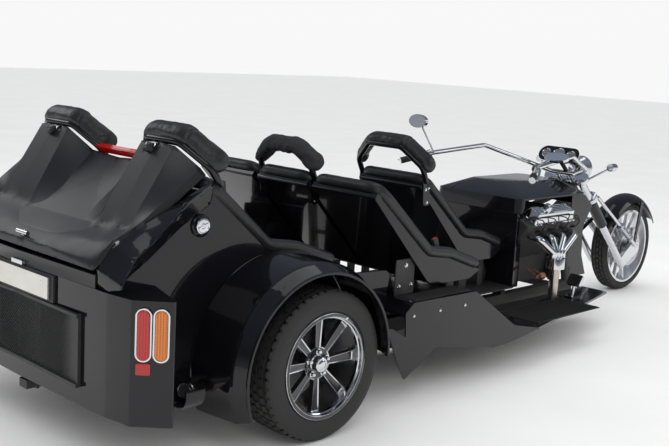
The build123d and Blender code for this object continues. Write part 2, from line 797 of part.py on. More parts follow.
# Head hoops stand on plates at the tops of the backs: two at the rear, one on the middle seat, one behind the rider
hoop_table = [
    # row, Y centre, half width of the seat, foot X, foot Z, lean back in degrees, rise
    ("rear", 411, 220, -398, 1120, 38, hoop_rise),
    ("rear", -411, 220, -398, 1120, 38, hoop_rise),
    ("middle", 0, 190, 566, 1040, 22, middle_hoop_rise),
    ("rider", 0, 240, 1392, 985, 26, hoop_rise),
]
hoop_out = 7
hoop_bends = [60, 60, 60, 60]
foot_plate = 8


def hoop_path(centre_y, half_width, foot_x, foot_z, lean, rise, cut=0):
    """Corner points of an arch with sloping shoulders, leaning back, with its feet cut short."""
    wide = half_width + hoop_out
    shape = [
        # across, up
        (wide, cut), (wide, rise * 0.45), (wide * 0.5, rise), (-wide * 0.5, rise), (-wide, rise * 0.45), (-wide, cut),
    ]
    back, up = sin(radians(lean)), cos(radians(lean))
    return [(foot_x - height * back, centre_y + across, foot_z + height * up) for across, height in shape]


with BuildPart() as head_hoops:
    for row, centre_y, half_width, foot_x, foot_z, lean, rise in hoop_table:
        pipe(hoop_path(centre_y, half_width, foot_x, foot_z, lean, rise), hoop_bends, hoop_radius)
        for side in (1, -1):
            y_near = centre_y + side * half_width
            y_far = y_near + side * foot_plate
            side_slab([
                (foot_x - 26, foot_z + 8, 10), (foot_x + 22, foot_z + 22, 10),
                (foot_x + 40, foot_z - 130, 20), (foot_x - 18, foot_z - 130, 20),
            ], min(y_near, y_far), max(y_near, y_far))
save(head_hoops, "head_hoops")

pad_ahead = 46
pad_wide = 54
pad_thick = 32


def bolster(row_wanted, wide, thick, ahead, start_share):
    """Oval padded rolls that stand ahead of a row's head hoops, over and beside them."""
    for row, centre_y, half_width, foot_x, foot_z, lean, rise in hoop_table:
        if row in row_wanted:
            forward = Vector(cos(radians(lean)), 0, sin(radians(lean)))
            start = rise * start_share
            line = [
                Vector(*point) + forward * ahead
                for point in hoop_path(centre_y, half_width + 6, foot_x, foot_z, lean, rise + 14, start)
            ]
            with BuildLine() as path:
                FilletPolyline(*line, radius=hoop_bends)
            section_plane = Plane(origin=path.line @ 0, x_dir=forward, z_dir=path.line % 0)
            with BuildSketch(section_plane) as section:
                Ellipse(wide, thick)
            sweep(section.sketch, path=path.line)
            groove = hoop_path(centre_y, half_width, foot_x, foot_z, lean, rise)
            pipe(groove, hoop_bends, hoop_radius + fit_gap, Mode.SUBTRACT)
    add(head_hoops.part, mode=Mode.SUBTRACT)


with BuildPart() as head_pads:
    bolster(("rear", "rider"), pad_wide, pad_thick, pad_ahead, 0.2)
save(head_pads, "head_pads")

with BuildPart() as head_cover:
    bolster(("middle",), 62, 44, 30, 0.25)
save(head_cover, "head_cover")

# Rear body: two side walls, a curved tail, corner ears, a raised floor and the deck round the boot opening
side_wall_table = [
    # X, Z, corner radius
    (body_rear_x + 15, body_bottom, 0),
    (body_rear_x + 5, ledge_height, 0),
    (-880, 850, 40),
    (-700, 925, 80),
    (-560, 1030, 60),
    (-440, 1118, 20),
    (-400, 1110, 20),
    (-130, 812, 40),
    (360, 655, 60),
    (690, 640, 40),
    (636, 330, 60),
    (420, 300, 60),
    (380, body_bottom, 0),
]
tunnel_half = 62
boot_floor = 470
with BuildPart() as rear_body:
    ear_top = ledge_height - 30
    tail_low = body_bottom - 30
    tail_outline = [
        # X, Y, corner radius
        (body_rear_x - tail_bow, 0, 0),
        (body_rear_x, tail_half_width - 150, 160),
        (body_rear_x + 18, tail_half_width - 10, 18),
        (body_rear_x + 135, ear_half_width, 14),
        (body_rear_x + 145, ear_half_width - 8, 0),
        (body_rear_x + 229, body_half_width, 0),
        (body_rear_x + 229, -body_half_width, 0),
        (body_rear_x + 145, -ear_half_width + 8, 0),
        (body_rear_x + 135, -ear_half_width, 14),
        (body_rear_x + 18, -tail_half_width + 10, 18),
        (body_rear_x, -tail_half_width + 150, 160),
    ]
    plan_slab(tail_outline, tail_low, ear_top)
    hollow_face = offset(
        outline_face(Plane.XY.offset(tail_low + body_skin), tail_outline),
        amount=-body_skin, kind=Kind.INTERSECTION, mode=Mode.PRIVATE,
    )
    extrude(hollow_face, amount=ear_top - tail_low - 2 * body_skin, mode=Mode.SUBTRACT)
    boot_half = body_half_width - body_skin
    with Locations((body_rear_x + 229, 0, (boot_floor + ear_top) / 2)):
        Box(80, 2 * boot_half, ear_top - boot_floor + 20, mode=Mode.SUBTRACT)
    with Locations((body_rear_x + 140, 0, ear_top)):
        Box(200, 2 * boot_half - 40, 40, mode=Mode.SUBTRACT)
    for side in (1, -1):
        y_low = min(side * body_half_width, side * (body_half_width - body_skin))
        side_slab(side_wall_table, y_low, y_low + body_skin)
    plan_slab([
        (body_rear_x - tail_bow + 3, 0, 0), (body_rear_x + 3, boot_half - 70, 0), (body_rear_x + 23, boot_half - 70, 0),
        (body_rear_x - tail_bow + 23, 0, 0), (body_rear_x + 23, -boot_half + 70, 0), (body_rear_x + 3, -boot_half + 70, 0),
    ], ear_top, ledge_height + 22)
    with BuildSketch(Plane.XY.offset(boot_floor)) as pan:
        with Locations(((body_rear_x + 16 + 336) / 2, 0)):
            Rectangle(336 - body_rear_x - 16, 2 * boot_half)
    extrude(pan.sketch, amount=body_skin)
    with BuildSketch(Plane.XY.offset(floor_level)) as riser:
        with Locations((332, 0)):
            Rectangle(body_skin, 2 * boot_half)
    extrude(riser.sketch, amount=boot_floor - floor_level)
    with Locations((0, 0, rear_tyre_radius - 40)):
        Box(2 * tunnel_half, 2 * body_half_width + 20, 2 * tunnel_half + 80, mode=Mode.SUBTRACT)
    add(drive_shaft.part, mode=Mode.SUBTRACT)
    for side in (1, -1):
        add(side_boards[side].part, mode=Mode.SUBTRACT)
    for neighbour in (exhaust, tail_pipes, frame, frame_cross_members, head_hoops, head_pads, seat_shells):
        add(neighbour.part, mode=Mode.SUBTRACT)
save(rear_body, "rear_body")

# Rear fenders, crowned bands round the wheels with a rolled outer lip
fenders = {}
for side, side_name in ((1, "left"), (-1, "right")):
    with BuildPart() as fender:
        plane = Plane(origin=(fender_centre_x, 0, fender_centre_z), x_dir=(0, 1, 0), z_dir=(1, 0, 0))
        section_table = [
            # Y, radius, corner radius
            (side * fender_inner_y, fender_crown_radius, 0),
            (side * (fender_outer_y - 70), fender_crown_radius - 14, 60),
            (side * (fender_outer_y - 8), fender_lip_radius + 12, 8),
            (side * fender_outer_y, fender_lip_radius + 14, 3),
            (side * fender_outer_y, fender_lip_radius, 3),
            (side * (fender_outer_y - 16), fender_lip_radius, 3),
            (side * (fender_outer_y - 78), fender_crown_radius - 14 - fender_skin, 56),
            (side * fender_inner_y, fender_crown_radius - fender_skin, 0),
        ]
        fender_axis = Axis((fender_centre_x, 0, fender_centre_z), (0, 1, 0))
        fender_section = outline_face(plane, section_table)
        revolve(fender_section, axis=fender_axis, revolution_arc=92)
        revolve(fender_section, axis=fender_axis, revolution_arc=-112)
        add(exhaust.part, mode=Mode.SUBTRACT)
        add(tail_pipes.part, mode=Mode.SUBTRACT)
    fenders[side] = fender
    save(fender, f"rear_fender_{side_name}")

# Padded rolls along the rims of the seats
with BuildPart() as seat_rolls:
    for hip_x, hip_z, centre_y, width, back_length, front_reach in seats:
        top_x, top_z = back_top(back_length)
        reach = width / 2 - roll_inset
        front_z = -150 + (432 - front_reach) * 0.35
        side_line = [
            (front_reach - 24, front_z + 8 + roll_rise),
            (knee[0], knee[1] + roll_rise),
            (hip[0] + 8, hip[1] + roll_rise),
            (top_x + roll_rise * back_face[0], top_z + roll_rise * back_face[1]),
        ]
        near = [(hip_x + x, centre_y + reach, hip_z + z) for x, z in side_line]
        far = [(hip_x + x, centre_y - reach, hip_z + z) for x, z in reversed(side_line)]
        pipe(near + far, [160, 90, 55, 55, 90, 160], roll_radius)
    for neighbour in (seat_shells, fenders[1], fenders[-1], rear_body, head_hoops, head_pads, head_cover):
        add(neighbour.part, mode=Mode.SUBTRACT)
save(seat_rolls, "seat_rolls")

# Plates that carry the seats on the floor, the boot floor and the side boards
bracket_table = [
    # row, Y, X rear, X front, Z foot
    ("rear", 260, -60, 0, boot_floor + body_skin),
    ("rear", 560, -60, 0, boot_floor + body_skin),
    ("rear", 260, 140, 200, boot_floor + body_skin),
    ("rear", 560, 140, 200, boot_floor + body_skin),
    ("middle", 650, 720, 860, pod_top),
    ("middle", 650, 1125, 1185, pod_top - 5),
    ("middle", 270, 1010, 1070, floor_level + 8),
    ("middle", 270, 1200, 1260, floor_level + 8),
    ("middle", 150, 1010, 1070, floor_level + 8),
    ("middle", 150, 1200, 1260, floor_level + 8),
    ("rider", 190, 1830, 1900, floor_level + 8),
    ("rider", 190, 2010, 2060, floor_level + 8),
]
with BuildPart() as seat_brackets:
    for row, y, rear_x, front_x, foot_z in bracket_table:
        _, hip_x, hip_z, *_ = next(seat for seat in seat_table if seat[0] == row)
        for side in (1, -1):
            y_low = min(side * y, side * (y - 8))
            head_z = hip_z + shell_floor + (150 if front_x - rear_x > 100 else 8)
            with Locations(((rear_x + front_x) / 2, y_low + 4, (foot_z + head_z) / 2)):
                Box(front_x - rear_x, 8, head_z - foot_z)
    for hip_x, hip_z, centre_y, width, back_length, front_reach in seats:
        outline = seat_outline(hip_x, hip_z, back_length, front_reach)
        side_slab(outline, centre_y - width / 2, centre_y + width / 2, Mode.SUBTRACT)
    for side in (1, -1):
        add(side_boards[side].part, mode=Mode.SUBTRACT)
    add(rear_body.part, mode=Mode.SUBTRACT)
save(seat_brackets, "seat_brackets")

# Boot lid: two humps that run up to the head hoops, drawn by three sections
arch_back, arch_up = sin(radians(38)), cos(radians(38))
arch_clear = 26
arch_foot = (hoop_base_x - arch_clear * arch_up, hoop_base_z - arch_clear * arch_back)
lid_half = body_half_width - body_skin - lid_gap
lid_tail_x = body_rear_x - 3


def lid_section(plane, half_profile):
    """A closed section from the half profile's Y and height columns, mirrored to the other side."""
    mirrored = [(-y, height) for y, height in reversed(half_profile) if y > 0]
    with BuildSketch(plane) as section:
        Polygon(*(half_profile + mirrored), align=None)
    return section.sketch


def lid_loft(shrink, drop, step, mode):
    """The lid's outer body, or with a shrink the room under its skin."""
    low = drop * 5
    tail = [(556 - shrink, 806 - low), (540 - shrink, 826 - drop), (470 - shrink, 834 - drop), (380, 838 - drop),
            (260, 841 - drop), (140, 843 - drop), (0, 844 - drop)]
    shoulder = [(592 - shrink, 880 - low), (584 - shrink, 922 - drop), (520 - shrink, 903 - drop), (411, 892 - drop),
                (280, 886 - drop), (150, 881 - drop), (0, 879 - drop)]
    crease = [(612 - shrink, 935 - low), (604 - shrink, 984 - drop), (520 - shrink, 950 - drop), (411, 943 - drop),
              (280, 932 - drop), (150, 923 - drop), (0, 920 - drop)]
    arch = [(lid_half - shrink, 70 - low), (lid_half - 8 - shrink, 106 - drop), (528 - shrink, hoop_rise - 3 - drop),
            (411, hoop_rise + 4 - drop), (294 + shrink, hoop_rise - 3 - drop), (200, 92 - drop), (0, 74 - drop)]
    arch_plane = Plane(
        origin=(arch_foot[0] + step * arch_up, 0, arch_foot[1] + step * arch_back),
        x_dir=(0, 1, 0), z_dir=(arch_up, 0, arch_back),
    )
    stations = [(tail, lid_tail_x + step), (shoulder, -880), (crease, -770)]
    sections = [
        lid_section(Plane(origin=(x, 0, 0), x_dir=(0, 1, 0), z_dir=(1, 0, 0)), half_profile)
        for half_profile, x in stations
    ]
    loft(sections + [lid_section(arch_plane, arch)], ruled=True, mode=mode)


hinge_x = hoop_base_x - 50 * arch_up - hoop_rise * arch_back
hinge_z = hoop_base_z - 50 * arch_back + hoop_rise * arch_up
hinge_y = 390
hinge_pin_radius = 6
knuckle_radius = 13
knuckle_half = 20
with BuildPart() as boot_lid:
    lid_loft(0, 0, 0, Mode.ADD)
    lid_loft(lid_skin, lid_skin, lid_skin, Mode.SUBTRACT)
    for side in (1, -1):
        notch_up = hoop_rise - 10
        notch_place = (
            hoop_base_x - 33 * arch_up - notch_up * arch_back, side * hinge_y,
            hoop_base_z - 33 * arch_back + notch_up * arch_up,
        )
        with BuildSketch(Plane(origin=notch_place, x_dir=(0, 1, 0), z_dir=(arch_up, 0, arch_back))) as notch:
            Rectangle(2 * (knuckle_half + 24), 110)
        extrude(notch.sketch, amount=23, both=True, mode=Mode.SUBTRACT)
    for side in (1, -1):
        rod((hinge_x, side * hinge_y - knuckle_half, hinge_z), (hinge_x, side * hinge_y + knuckle_half, hinge_z),
            knuckle_radius)
        tab_x = hinge_x - 9 * arch_up
        tab_z = hinge_z - 9 * arch_back
        tab_plane = Plane(origin=(tab_x, side * hinge_y, tab_z), x_dir=(0, 1, 0), z_dir=(-arch_up, 0, -arch_back))
        with BuildSketch(tab_plane) as tab:
            Rectangle(2 * knuckle_half, 20)
        extrude(tab.sketch, amount=20)
        rod((hinge_x, side * hinge_y - 40, hinge_z), (hinge_x, side * hinge_y + 40, hinge_z),
            hinge_pin_radius + fit_gap, Mode.SUBTRACT)
save(boot_lid, "boot_lid")

# Hinge pins in ears that stand off the rear head hoops
with BuildPart() as lid_hinges:
    for side in (1, -1):
        rod((hinge_x, side * hinge_y - 34, hinge_z), (hinge_x, side * hinge_y + 34, hinge_z), hinge_pin_radius)
        for end in (-1, 1):
            ear_y = side * hinge_y + end * (knuckle_half + 7)
            side_slab([
                (hinge_x - 10, hinge_z - 4, 5), (hinge_x + 2, hinge_z + 12, 5),
                (hinge_x + 58, hinge_z + 26, 0), (hinge_x + 66, hinge_z + 8, 0),
            ], ear_y - 6, ear_y + 6)
    add(head_hoops.part, mode=Mode.SUBTRACT)
    add(head_pads.part, mode=Mode.SUBTRACT)
save(lid_hinges, "lid_hinges")

# Shoulders: glossy flared panels from the tail's corners up beside the lid to the head hoops
shoulder_table = [
    # X, inner Y, inner Z, outer Y, outer Z, lowest Z at the wall
    (body_rear_x + 5, 568, 812, 745, 782, ledge_height - 29),
    (-880, 592 + lid_gap, 918, 728, 866, 758),
    (-770, 612 + lid_gap, 976, 700, 928, 830),
    (-600, 625, 1060, 668, 1058, 960),
    (-446, lid_half + lid_gap, 1140, 652, 1144, 1050),
]
with BuildPart() as tail_shoulders:
    for side in (1, -1):
        sections = []
        for x, inner_y, inner_z, outer_y, outer_z, wall_z in shoulder_table:
            with BuildSketch(Plane(origin=(x, 0, 0), x_dir=(0, 1, 0), z_dir=(1, 0, 0))) as section:
                Polygon(
                    (side * inner_y, inner_z), (side * outer_y, outer_z), (side * (outer_y - 3), outer_z - 16),
                    (side * (body_half_width + 2), wall_z), (side * inner_y, max(inner_z - 60, wall_z)),
                    align=None,
                )
            sections.append(section.sketch)
        loft(sections, ruled=True)
    for neighbour in (rear_body, head_hoops, head_pads, seat_shells, seat_rolls):
        add(neighbour.part, mode=Mode.SUBTRACT)
save(tail_shoulders, "tail_shoulders")

with BuildPart() as lid_handle:
    rod((-918, 0, 848), (-944, 0, 868), 12)
    rod((-944, -44, 868), (-944, 44, 868), 9)
    add(boot_lid.part, mode=Mode.SUBTRACT)
save(lid_handle, "lid_handle")


# Tail details: grille, number plate, lamps on the angled corners, brake light, fuel cap and tow hitch
def tail_face_x(y):
    """X of the tail's outer face at a distance from the middle, inside the straight part."""
    return body_rear_x - tail_bow + tail_bow * abs(y) / (tail_half_width - 150)


def tail_plate(half_width, depth, z_low, z_high, mode=Mode.ADD, start=0):
    """A plate that follows the tail's outer face, from a start depth outward."""
    edge = tail_face_x(half_width)
    middle = tail_face_x(0)
    plan_slab([
        (edge - depth, -half_width, 0), (middle - depth, 0, 0), (edge - depth, half_width, 0),
        (edge - start, half_width, 0), (middle - start, 0, 0), (edge - start, -half_width, 0),
    ], z_low, z_high, mode)


with BuildPart() as rear_grille:
    tail_plate(480, grille_depth, 316, 617)
    for bar in range(8):
        slot_low = 330 + bar * 35
        tail_plate(464, grille_depth + 2, slot_low, slot_low + 24, Mode.SUBTRACT, start=4)
save(rear_grille, "rear_grille")

with BuildPart() as number_plate:
    tail_plate(286, 12, 620, 732)
    with Locations((tail_face_x(0) - 12, 0, 676)):
        Box(6, 520, 94)
save(number_plate, "number_plate")

facet_start = Vector(body_rear_x + 18, tail_half_width - 10, 0)
facet_end = Vector(body_rear_x + 135, ear_half_width, 0)
lamp_level = 604
lens_depth = 16
bezel_depth = 10
lens_half_width = 24
lens_half_height = 97
bezel_rim = 8


def facet_plane(side, share, level):
    """A plane on the angled rear corner, at a share of its width and a height."""
    point = facet_start + (facet_end - facet_start) * share
    along = facet_end - facet_start
    outward = Vector(-along.Y, along.X, 0)
    return Plane(
        origin=(point.X, side * point.Y, level),
        x_dir=(along.X, side * along.Y, 0),
        z_dir=(outward.X, side * outward.Y, 0),
    )


red_share = 0.29
amber_share = 0.70
with BuildPart() as tail_lamps_red:
    for side in (1, -1):
        with BuildSketch(facet_plane(side, red_share, lamp_level)) as lens:
            RectangleRounded(2 * lens_half_width, 2 * lens_half_height, lens_half_width - 1)
        extrude(lens.sketch, amount=lens_depth)
        with BuildSketch(facet_plane(side, red_share, 470)) as reflector:
            RectangleRounded(56, 48, 6)
        extrude(reflector.sketch, amount=8)
save(tail_lamps_red, "tail_lamps_red")

with BuildPart() as tail_lamps_amber:
    for side in (1, -1):
        with BuildSketch(facet_plane(side, amber_share, lamp_level)) as lens:
            RectangleRounded(2 * lens_half_width, 2 * lens_half_height, lens_half_width - 1)
        extrude(lens.sketch, amount=lens_depth)
save(tail_lamps_amber, "tail_lamps_amber")

with BuildPart() as lamp_bezels:
    for side in (1, -1):
        for share in (red_share, amber_share):
            with BuildSketch(facet_plane(side, share, lamp_level)) as bezel:
                rim_width, rim_height = lens_half_width + bezel_rim, lens_half_height + bezel_rim
                RectangleRounded(2 * rim_width, 2 * rim_height, rim_width - 1)
                RectangleRounded(
                    2 * lens_half_width, 2 * lens_half_height, lens_half_width - 1, mode=Mode.SUBTRACT,
                )
            extrude(bezel.sketch, amount=bezel_depth)
    with Locations((body_rear_x - tail_bow - 6, 0, ear_top + 9)):
        Box(18, 90, 18)
save(lamp_bezels, "lamp_bezels")

with BuildPart() as brake_light:
    bar_origin = (hoop_base_x - 88 * arch_back, 0, hoop_base_z + 88 * arch_up)
    with BuildSketch(Plane(origin=bar_origin, x_dir=(0, 1, 0), z_dir=(-arch_up, 0, -arch_back))) as bar:
        RectangleRounded(2 * (411 - 222) + 8, 34, 8)
    extrude(bar.sketch, amount=12, both=True)
    add(head_hoops.part, mode=Mode.SUBTRACT)
    add(head_pads.part, mode=Mode.SUBTRACT)
save(brake_light, "brake_light")

with BuildPart() as fuel_cap:
    rod((-500, -body_half_width, 960), (-500, -body_half_width - 12, 960), 48)
    rod((-500, -body_half_width - 12, 960), (-500, -body_half_width - 24, 960), 34)
save(fuel_cap, "fuel_cap")

with BuildPart() as tow_hitch:
    with Locations(((rail_rear_x + body_rear_x) / 2 + 6, 0, rail_bottom + 20)):
        Box(rail_rear_x - body_rear_x, 64, 40)
    for side in (1, -1):
        with Locations((body_rear_x + 45, side * 46, rail_bottom + 20)):
            Box(14, 30, 30)
    add(frame.part, mode=Mode.SUBTRACT)
    add(frame_cross_members.part, mode=Mode.SUBTRACT)
    add(rear_body.part, mode=Mode.SUBTRACT)
save(tow_hitch, "tow_hitch")

with BuildPart() as exhaust_shields:
    for side in (1, -1):
        shield_plane = Plane(origin=(-600, side * tip_y, tip_z - 2), x_dir=(0, 1, 0), z_dir=(-1, 0, 0))
        with BuildSketch(shield_plane) as arch:
            Circle(66)
            Circle(58, mode=Mode.SUBTRACT)
            with Locations((0, -60)):
                Rectangle(160, 80, mode=Mode.SUBTRACT)
        extrude(arch.sketch, amount=95)
        y_low = min(side * body_half_width, side * (tip_y - 60))
        with Locations((-648, side * (body_half_width + tip_y - 58) / 2, tip_z + 8)):
            Box(95, tip_y - 58 - body_half_width, 8)
save(exhaust_shields, "exhaust_shields")

# Pedals on the foot boards, brake calipers and rear springs
with BuildPart() as foot_controls:
    for side in (1, -1):
        rod((2640, side * 480, board_level + board_thickness + 4), (2660, side * 480, board_level + 110), 10)
        with BuildSketch(Plane(origin=(2662, side * 480, board_level + 118), x_dir=(0, 1, 0), z_dir=(-0.8, 0, 0.6))) as pad:
            RectangleRounded(96, 76, 10)
        extrude(pad.sketch, amount=12, both=True)
        with Locations((2640, side * 480, board_level + board_thickness + 4)):
            Box(90, 60, 8)
save(foot_controls, "foot_controls")

with BuildPart() as front_calipers:
    for side in (1, -1):
        y_inner = front_disc_y - 17
        y_outer = fork_half_track - 21
        y_low = min(side * y_inner, side * y_outer)
        side_slab([
            (wheelbase - 160, 262, 14), (wheelbase - 84, 234, 14), (wheelbase - 62, 318, 14), (wheelbase - 132, 356, 14),
        ], y_low, y_low + y_outer - y_inner)
        slot_low = min(side * (front_disc_y - 9), side * (front_disc_y + 9))
        with Locations((wheelbase, slot_low + 9, front_tyre_radius)):
            Cylinder(disc_radius + 6, 18, rotation=(90, 0, 0), mode=Mode.SUBTRACT)
save(front_calipers, "front_calipers")

with BuildPart() as rear_springs:
    for side in (1, -1):
        rod((0, side * 440, rear_tyre_radius), (0, side * 440, boot_floor), 36)
        rod((0, side * 440, boot_floor - 12), (0, side * 440, boot_floor), 50)
    add(rear_axle.part, mode=Mode.SUBTRACT)
    add(rear_body.part, mode=Mode.SUBTRACT)
save(rear_springs, "rear_springs")
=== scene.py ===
"""Looks of the six-seat motorized trike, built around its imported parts."""

import json
from math import atan2, cos, exp, pi, radians, sin, sqrt, tan

import bmesh
import bpy
from mathutils import Matrix, Vector, noise
from mathutils.bvhtree import BVHTree


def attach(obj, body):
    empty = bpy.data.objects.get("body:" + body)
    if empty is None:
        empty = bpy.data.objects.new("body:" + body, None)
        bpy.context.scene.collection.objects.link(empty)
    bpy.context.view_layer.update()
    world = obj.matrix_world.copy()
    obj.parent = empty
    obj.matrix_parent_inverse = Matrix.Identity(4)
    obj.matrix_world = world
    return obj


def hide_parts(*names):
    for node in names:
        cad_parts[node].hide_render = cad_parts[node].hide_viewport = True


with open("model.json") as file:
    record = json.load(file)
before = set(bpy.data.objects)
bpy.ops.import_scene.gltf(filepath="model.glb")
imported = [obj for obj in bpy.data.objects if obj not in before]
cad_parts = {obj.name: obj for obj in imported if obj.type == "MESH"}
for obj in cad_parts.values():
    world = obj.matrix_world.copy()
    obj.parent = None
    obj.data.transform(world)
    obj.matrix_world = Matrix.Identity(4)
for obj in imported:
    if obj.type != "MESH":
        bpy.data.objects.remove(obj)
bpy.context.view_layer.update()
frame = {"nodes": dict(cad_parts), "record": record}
scene = bpy.context.scene

# Driving places and sizes in metres. Tables below count X from the rear axle.
rear_axle_x = -1.7142
wheelbase = 4.05
rear_wheel_radius, front_wheel_radius = 0.341, 0.336
rear_wheel_y, rim_face_y = 0.798, 0.856
merge_distance = 0.00002


def spot(x, y, z):
    """A point given by its distance ahead of the rear axle, its side and its height."""
    return Vector((x + rear_axle_x, y, z))


# Camera at the photograph's viewpoint
camera_place = Vector((-4.8282, -3.9884, 1.7082))
camera_yaw, camera_pitch, camera_roll = radians(44.63), radians(9.53), radians(3.148)
look = Vector((cos(camera_yaw) * cos(camera_pitch), sin(camera_yaw) * cos(camera_pitch), -sin(camera_pitch)))
level_right = Vector((sin(camera_yaw), -cos(camera_yaw), 0))
level_up = level_right.cross(look)
view_right = cos(camera_roll) * level_right + sin(camera_roll) * level_up
view_up = -sin(camera_roll) * level_right + cos(camera_roll) * level_up
camera_data = bpy.data.cameras.new("camera")
camera_data.sensor_width = 36
camera_data.lens = 56.37
camera = bpy.data.objects.new("camera", camera_data)
turn = Matrix((view_right, view_up, -look)).transposed().to_4x4()
camera.matrix_world = Matrix.Translation(camera_place) @ turn
scene.collection.objects.link(camera)
scene.camera = camera
scene.view_settings.view_transform = "Standard"


# Materials
def add_node(tree, kind, **values):
    """A node with its sockets or settings filled in."""
    made = tree.nodes.new(kind)
    for key, value in values.items():
        label = key.replace("_", " ").title()
        if label in made.inputs:
            made.inputs[label].default_value = value
        else:
            setattr(made, key, value)
    return made


def blank_material(name, colour, metallic, coat=0.0, coat_roughness=0.03):
    """A material with its even values on the shader's own sockets."""
    material = bpy.data.materials.new(name)
    material.use_nodes = True
    shader = material.node_tree.nodes["Principled BSDF"]
    shader.inputs["Base Color"].default_value = (*colour, 1)
    shader.inputs["Metallic"].default_value = metallic
    shader.inputs["Coat Weight"].default_value = coat
    shader.inputs["Coat Roughness"].default_value = coat_roughness
    return material, material.node_tree, shader


def mixed_colour(tree, target, amount, first, second):
    """Blend a colour with another one, or with a colour socket, into a target socket."""
    mix = add_node(tree, "ShaderNodeMix", data_type="RGBA")
    sockets = {socket.identifier: socket for socket in mix.inputs}
    sockets["A_Color"].default_value = (*first, 1)
    if isinstance(second, tuple):
        sockets["B_Color"].default_value = (*second, 1)
    else:
        tree.links.new(second, sockets["B_Color"])
    tree.links.new(amount, sockets["Factor_Float"])
    blend = next(socket for socket in mix.outputs if socket.identifier == "Result_Color")
    tree.links.new(blend, target)


def spread(tree, source, low, high, start=0.3, end=0.7):
    """Stretch a noise socket onto a range."""
    stretch = add_node(tree, "ShaderNodeMapRange", from_min=start, from_max=end, to_min=low, to_max=high)
    tree.links.new(source, stretch.inputs["Value"])
    return stretch.outputs["Result"]


def add_bump(tree, shader, height, strength, distance):
    """Raise the surface by a height socket."""
    bump = add_node(tree, "ShaderNodeBump", strength=strength, distance=distance)
    tree.links.new(height, bump.inputs["Height"])
    tree.links.new(bump.outputs["Normal"], shader.inputs["Normal"])


def texture(tree, kind, **values):
    """A texture node that reads the object's own coordinates."""
    made = add_node(tree, kind, **values)
    place = add_node(tree, "ShaderNodeTexCoord").outputs["Object"]
    tree.links.new(place, made.inputs["Vector"])
    return made


def worn_surface(
    name, colour, second, rough, patch, grain, bump, distance=0.0004, metallic=0.0, coat=0.0, cells=False,
):
    """Patches of colour and sheen at one scale, with a finer grain or leather cells raised on them."""
    material, tree, shader = blank_material(name, colour, metallic, coat)
    patches = texture(tree, "ShaderNodeTexNoise", scale=patch, detail=6.0, roughness=0.6)
    wear = spread(tree, patches.outputs["Fac"], 0, 1)
    mixed_colour(tree, shader.inputs["Base Color"], wear, colour, second)
    tree.links.new(spread(tree, patches.outputs["Fac"], *rough), shader.inputs["Roughness"])
    if cells:
        fine = texture(tree, "ShaderNodeTexVoronoi", scale=grain, feature="DISTANCE_TO_EDGE")
        height = spread(tree, fine.outputs["Distance"], 0, 1, 0.0, 0.25)
    else:
        fine = texture(tree, "ShaderNodeTexNoise", scale=grain, detail=4.0)
        height = fine.outputs["Fac"]
    add_bump(tree, shader, height, bump, distance)
    return material


def brushed_rings(name, colour, centre):
    """Turned metal whose marks run round an axle along Y."""
    material, tree, shader = blank_material(name, colour, 1.0)
    place = add_node(tree, "ShaderNodeTexCoord").outputs["Object"]
    shift = add_node(tree, "ShaderNodeVectorMath", operation="SUBTRACT")
    shift.inputs[1].default_value = centre
    tree.links.new(place, shift.inputs[0])
    flat = add_node(tree, "ShaderNodeVectorMath", operation="MULTIPLY")
    flat.inputs[1].default_value = (1, 0, 1)
    tree.links.new(shift.outputs["Vector"], flat.inputs[0])
    radius = add_node(tree, "ShaderNodeVectorMath", operation="LENGTH")
    tree.links.new(flat.outputs["Vector"], radius.inputs[0])
    rings = add_node(tree, "ShaderNodeTexNoise", noise_dimensions="1D", scale=900.0, detail=3.0)
    tree.links.new(radius.outputs["Value"], rings.inputs["W"])
    tree.links.new(spread(tree, rings.outputs["Fac"], 0.16, 0.38), shader.inputs["Roughness"])
    add_bump(tree, shader, rings.outputs["Fac"], 0.25, 0.0002)
    return material


def lens(name, colour, cell_scale, transmission):
    """A moulded plastic lens with small prism cells."""
    material, tree, shader = blank_material(name, colour, 0.0, 0.6, 0.02)
    shader.inputs["Transmission Weight"].default_value = transmission
    shader.inputs["IOR"].default_value = 1.49
    cells = texture(tree, "ShaderNodeTexVoronoi", scale=cell_scale, randomness=0.0)
    darker = tuple(channel * 0.45 for channel in colour)
    shade = spread(tree, cells.outputs["Distance"], 0, 1, 0.1, 0.6)
    mixed_colour(tree, shader.inputs["Base Color"], shade, colour, darker)
    tree.links.new(spread(tree, cells.outputs["Distance"], 0.06, 0.2, 0, 0.7), shader.inputs["Roughness"])
    add_bump(tree, shader, cells.outputs["Distance"], 0.5, 0.001)
    return material


# Worn surfaces: name, colour, worn colour, roughness, scale of the patches, grain, bump and its depth
gloss_black = worn_surface(
    "gloss black paint", (0.0035, 0.0035, 0.005), (0.006, 0.006, 0.008), (0.12, 0.2), 2.5, 900, 0.03, 0.0002,
    coat=0.7,
)
gloss_black.node_tree.nodes["Principled BSDF"].inputs["Specular IOR Level"].default_value = 0.1
satin_black = worn_surface(
    "satin black paint", (0.009, 0.009, 0.011), (0.014, 0.014, 0.017), (0.36, 0.46), 3.0, 700, 0.12, 0.0003,
)
lead_red = worn_surface("red lead", (0.32, 0.01, 0.008), (0.22, 0.008, 0.006), (0.35, 0.5), 20.0, 600, 0.1)
chassis_black = worn_surface(
    "chassis black", (0.018, 0.018, 0.019), (0.05, 0.048, 0.044), (0.45, 0.65), 8.0, 250, 0.2, 0.0006,
)
chrome = worn_surface(
    "chrome plate", (0.74, 0.75, 0.77), (0.66, 0.67, 0.69), (0.04, 0.11), 9.0, 60, 0.02, 0.0004, metallic=1.0,
)
stainless = worn_surface(
    "warm exhaust steel", (0.6, 0.57, 0.52), (0.42, 0.36, 0.3), (0.12, 0.28), 7.0, 300, 0.08, 0.0004,
    metallic=1.0,
)
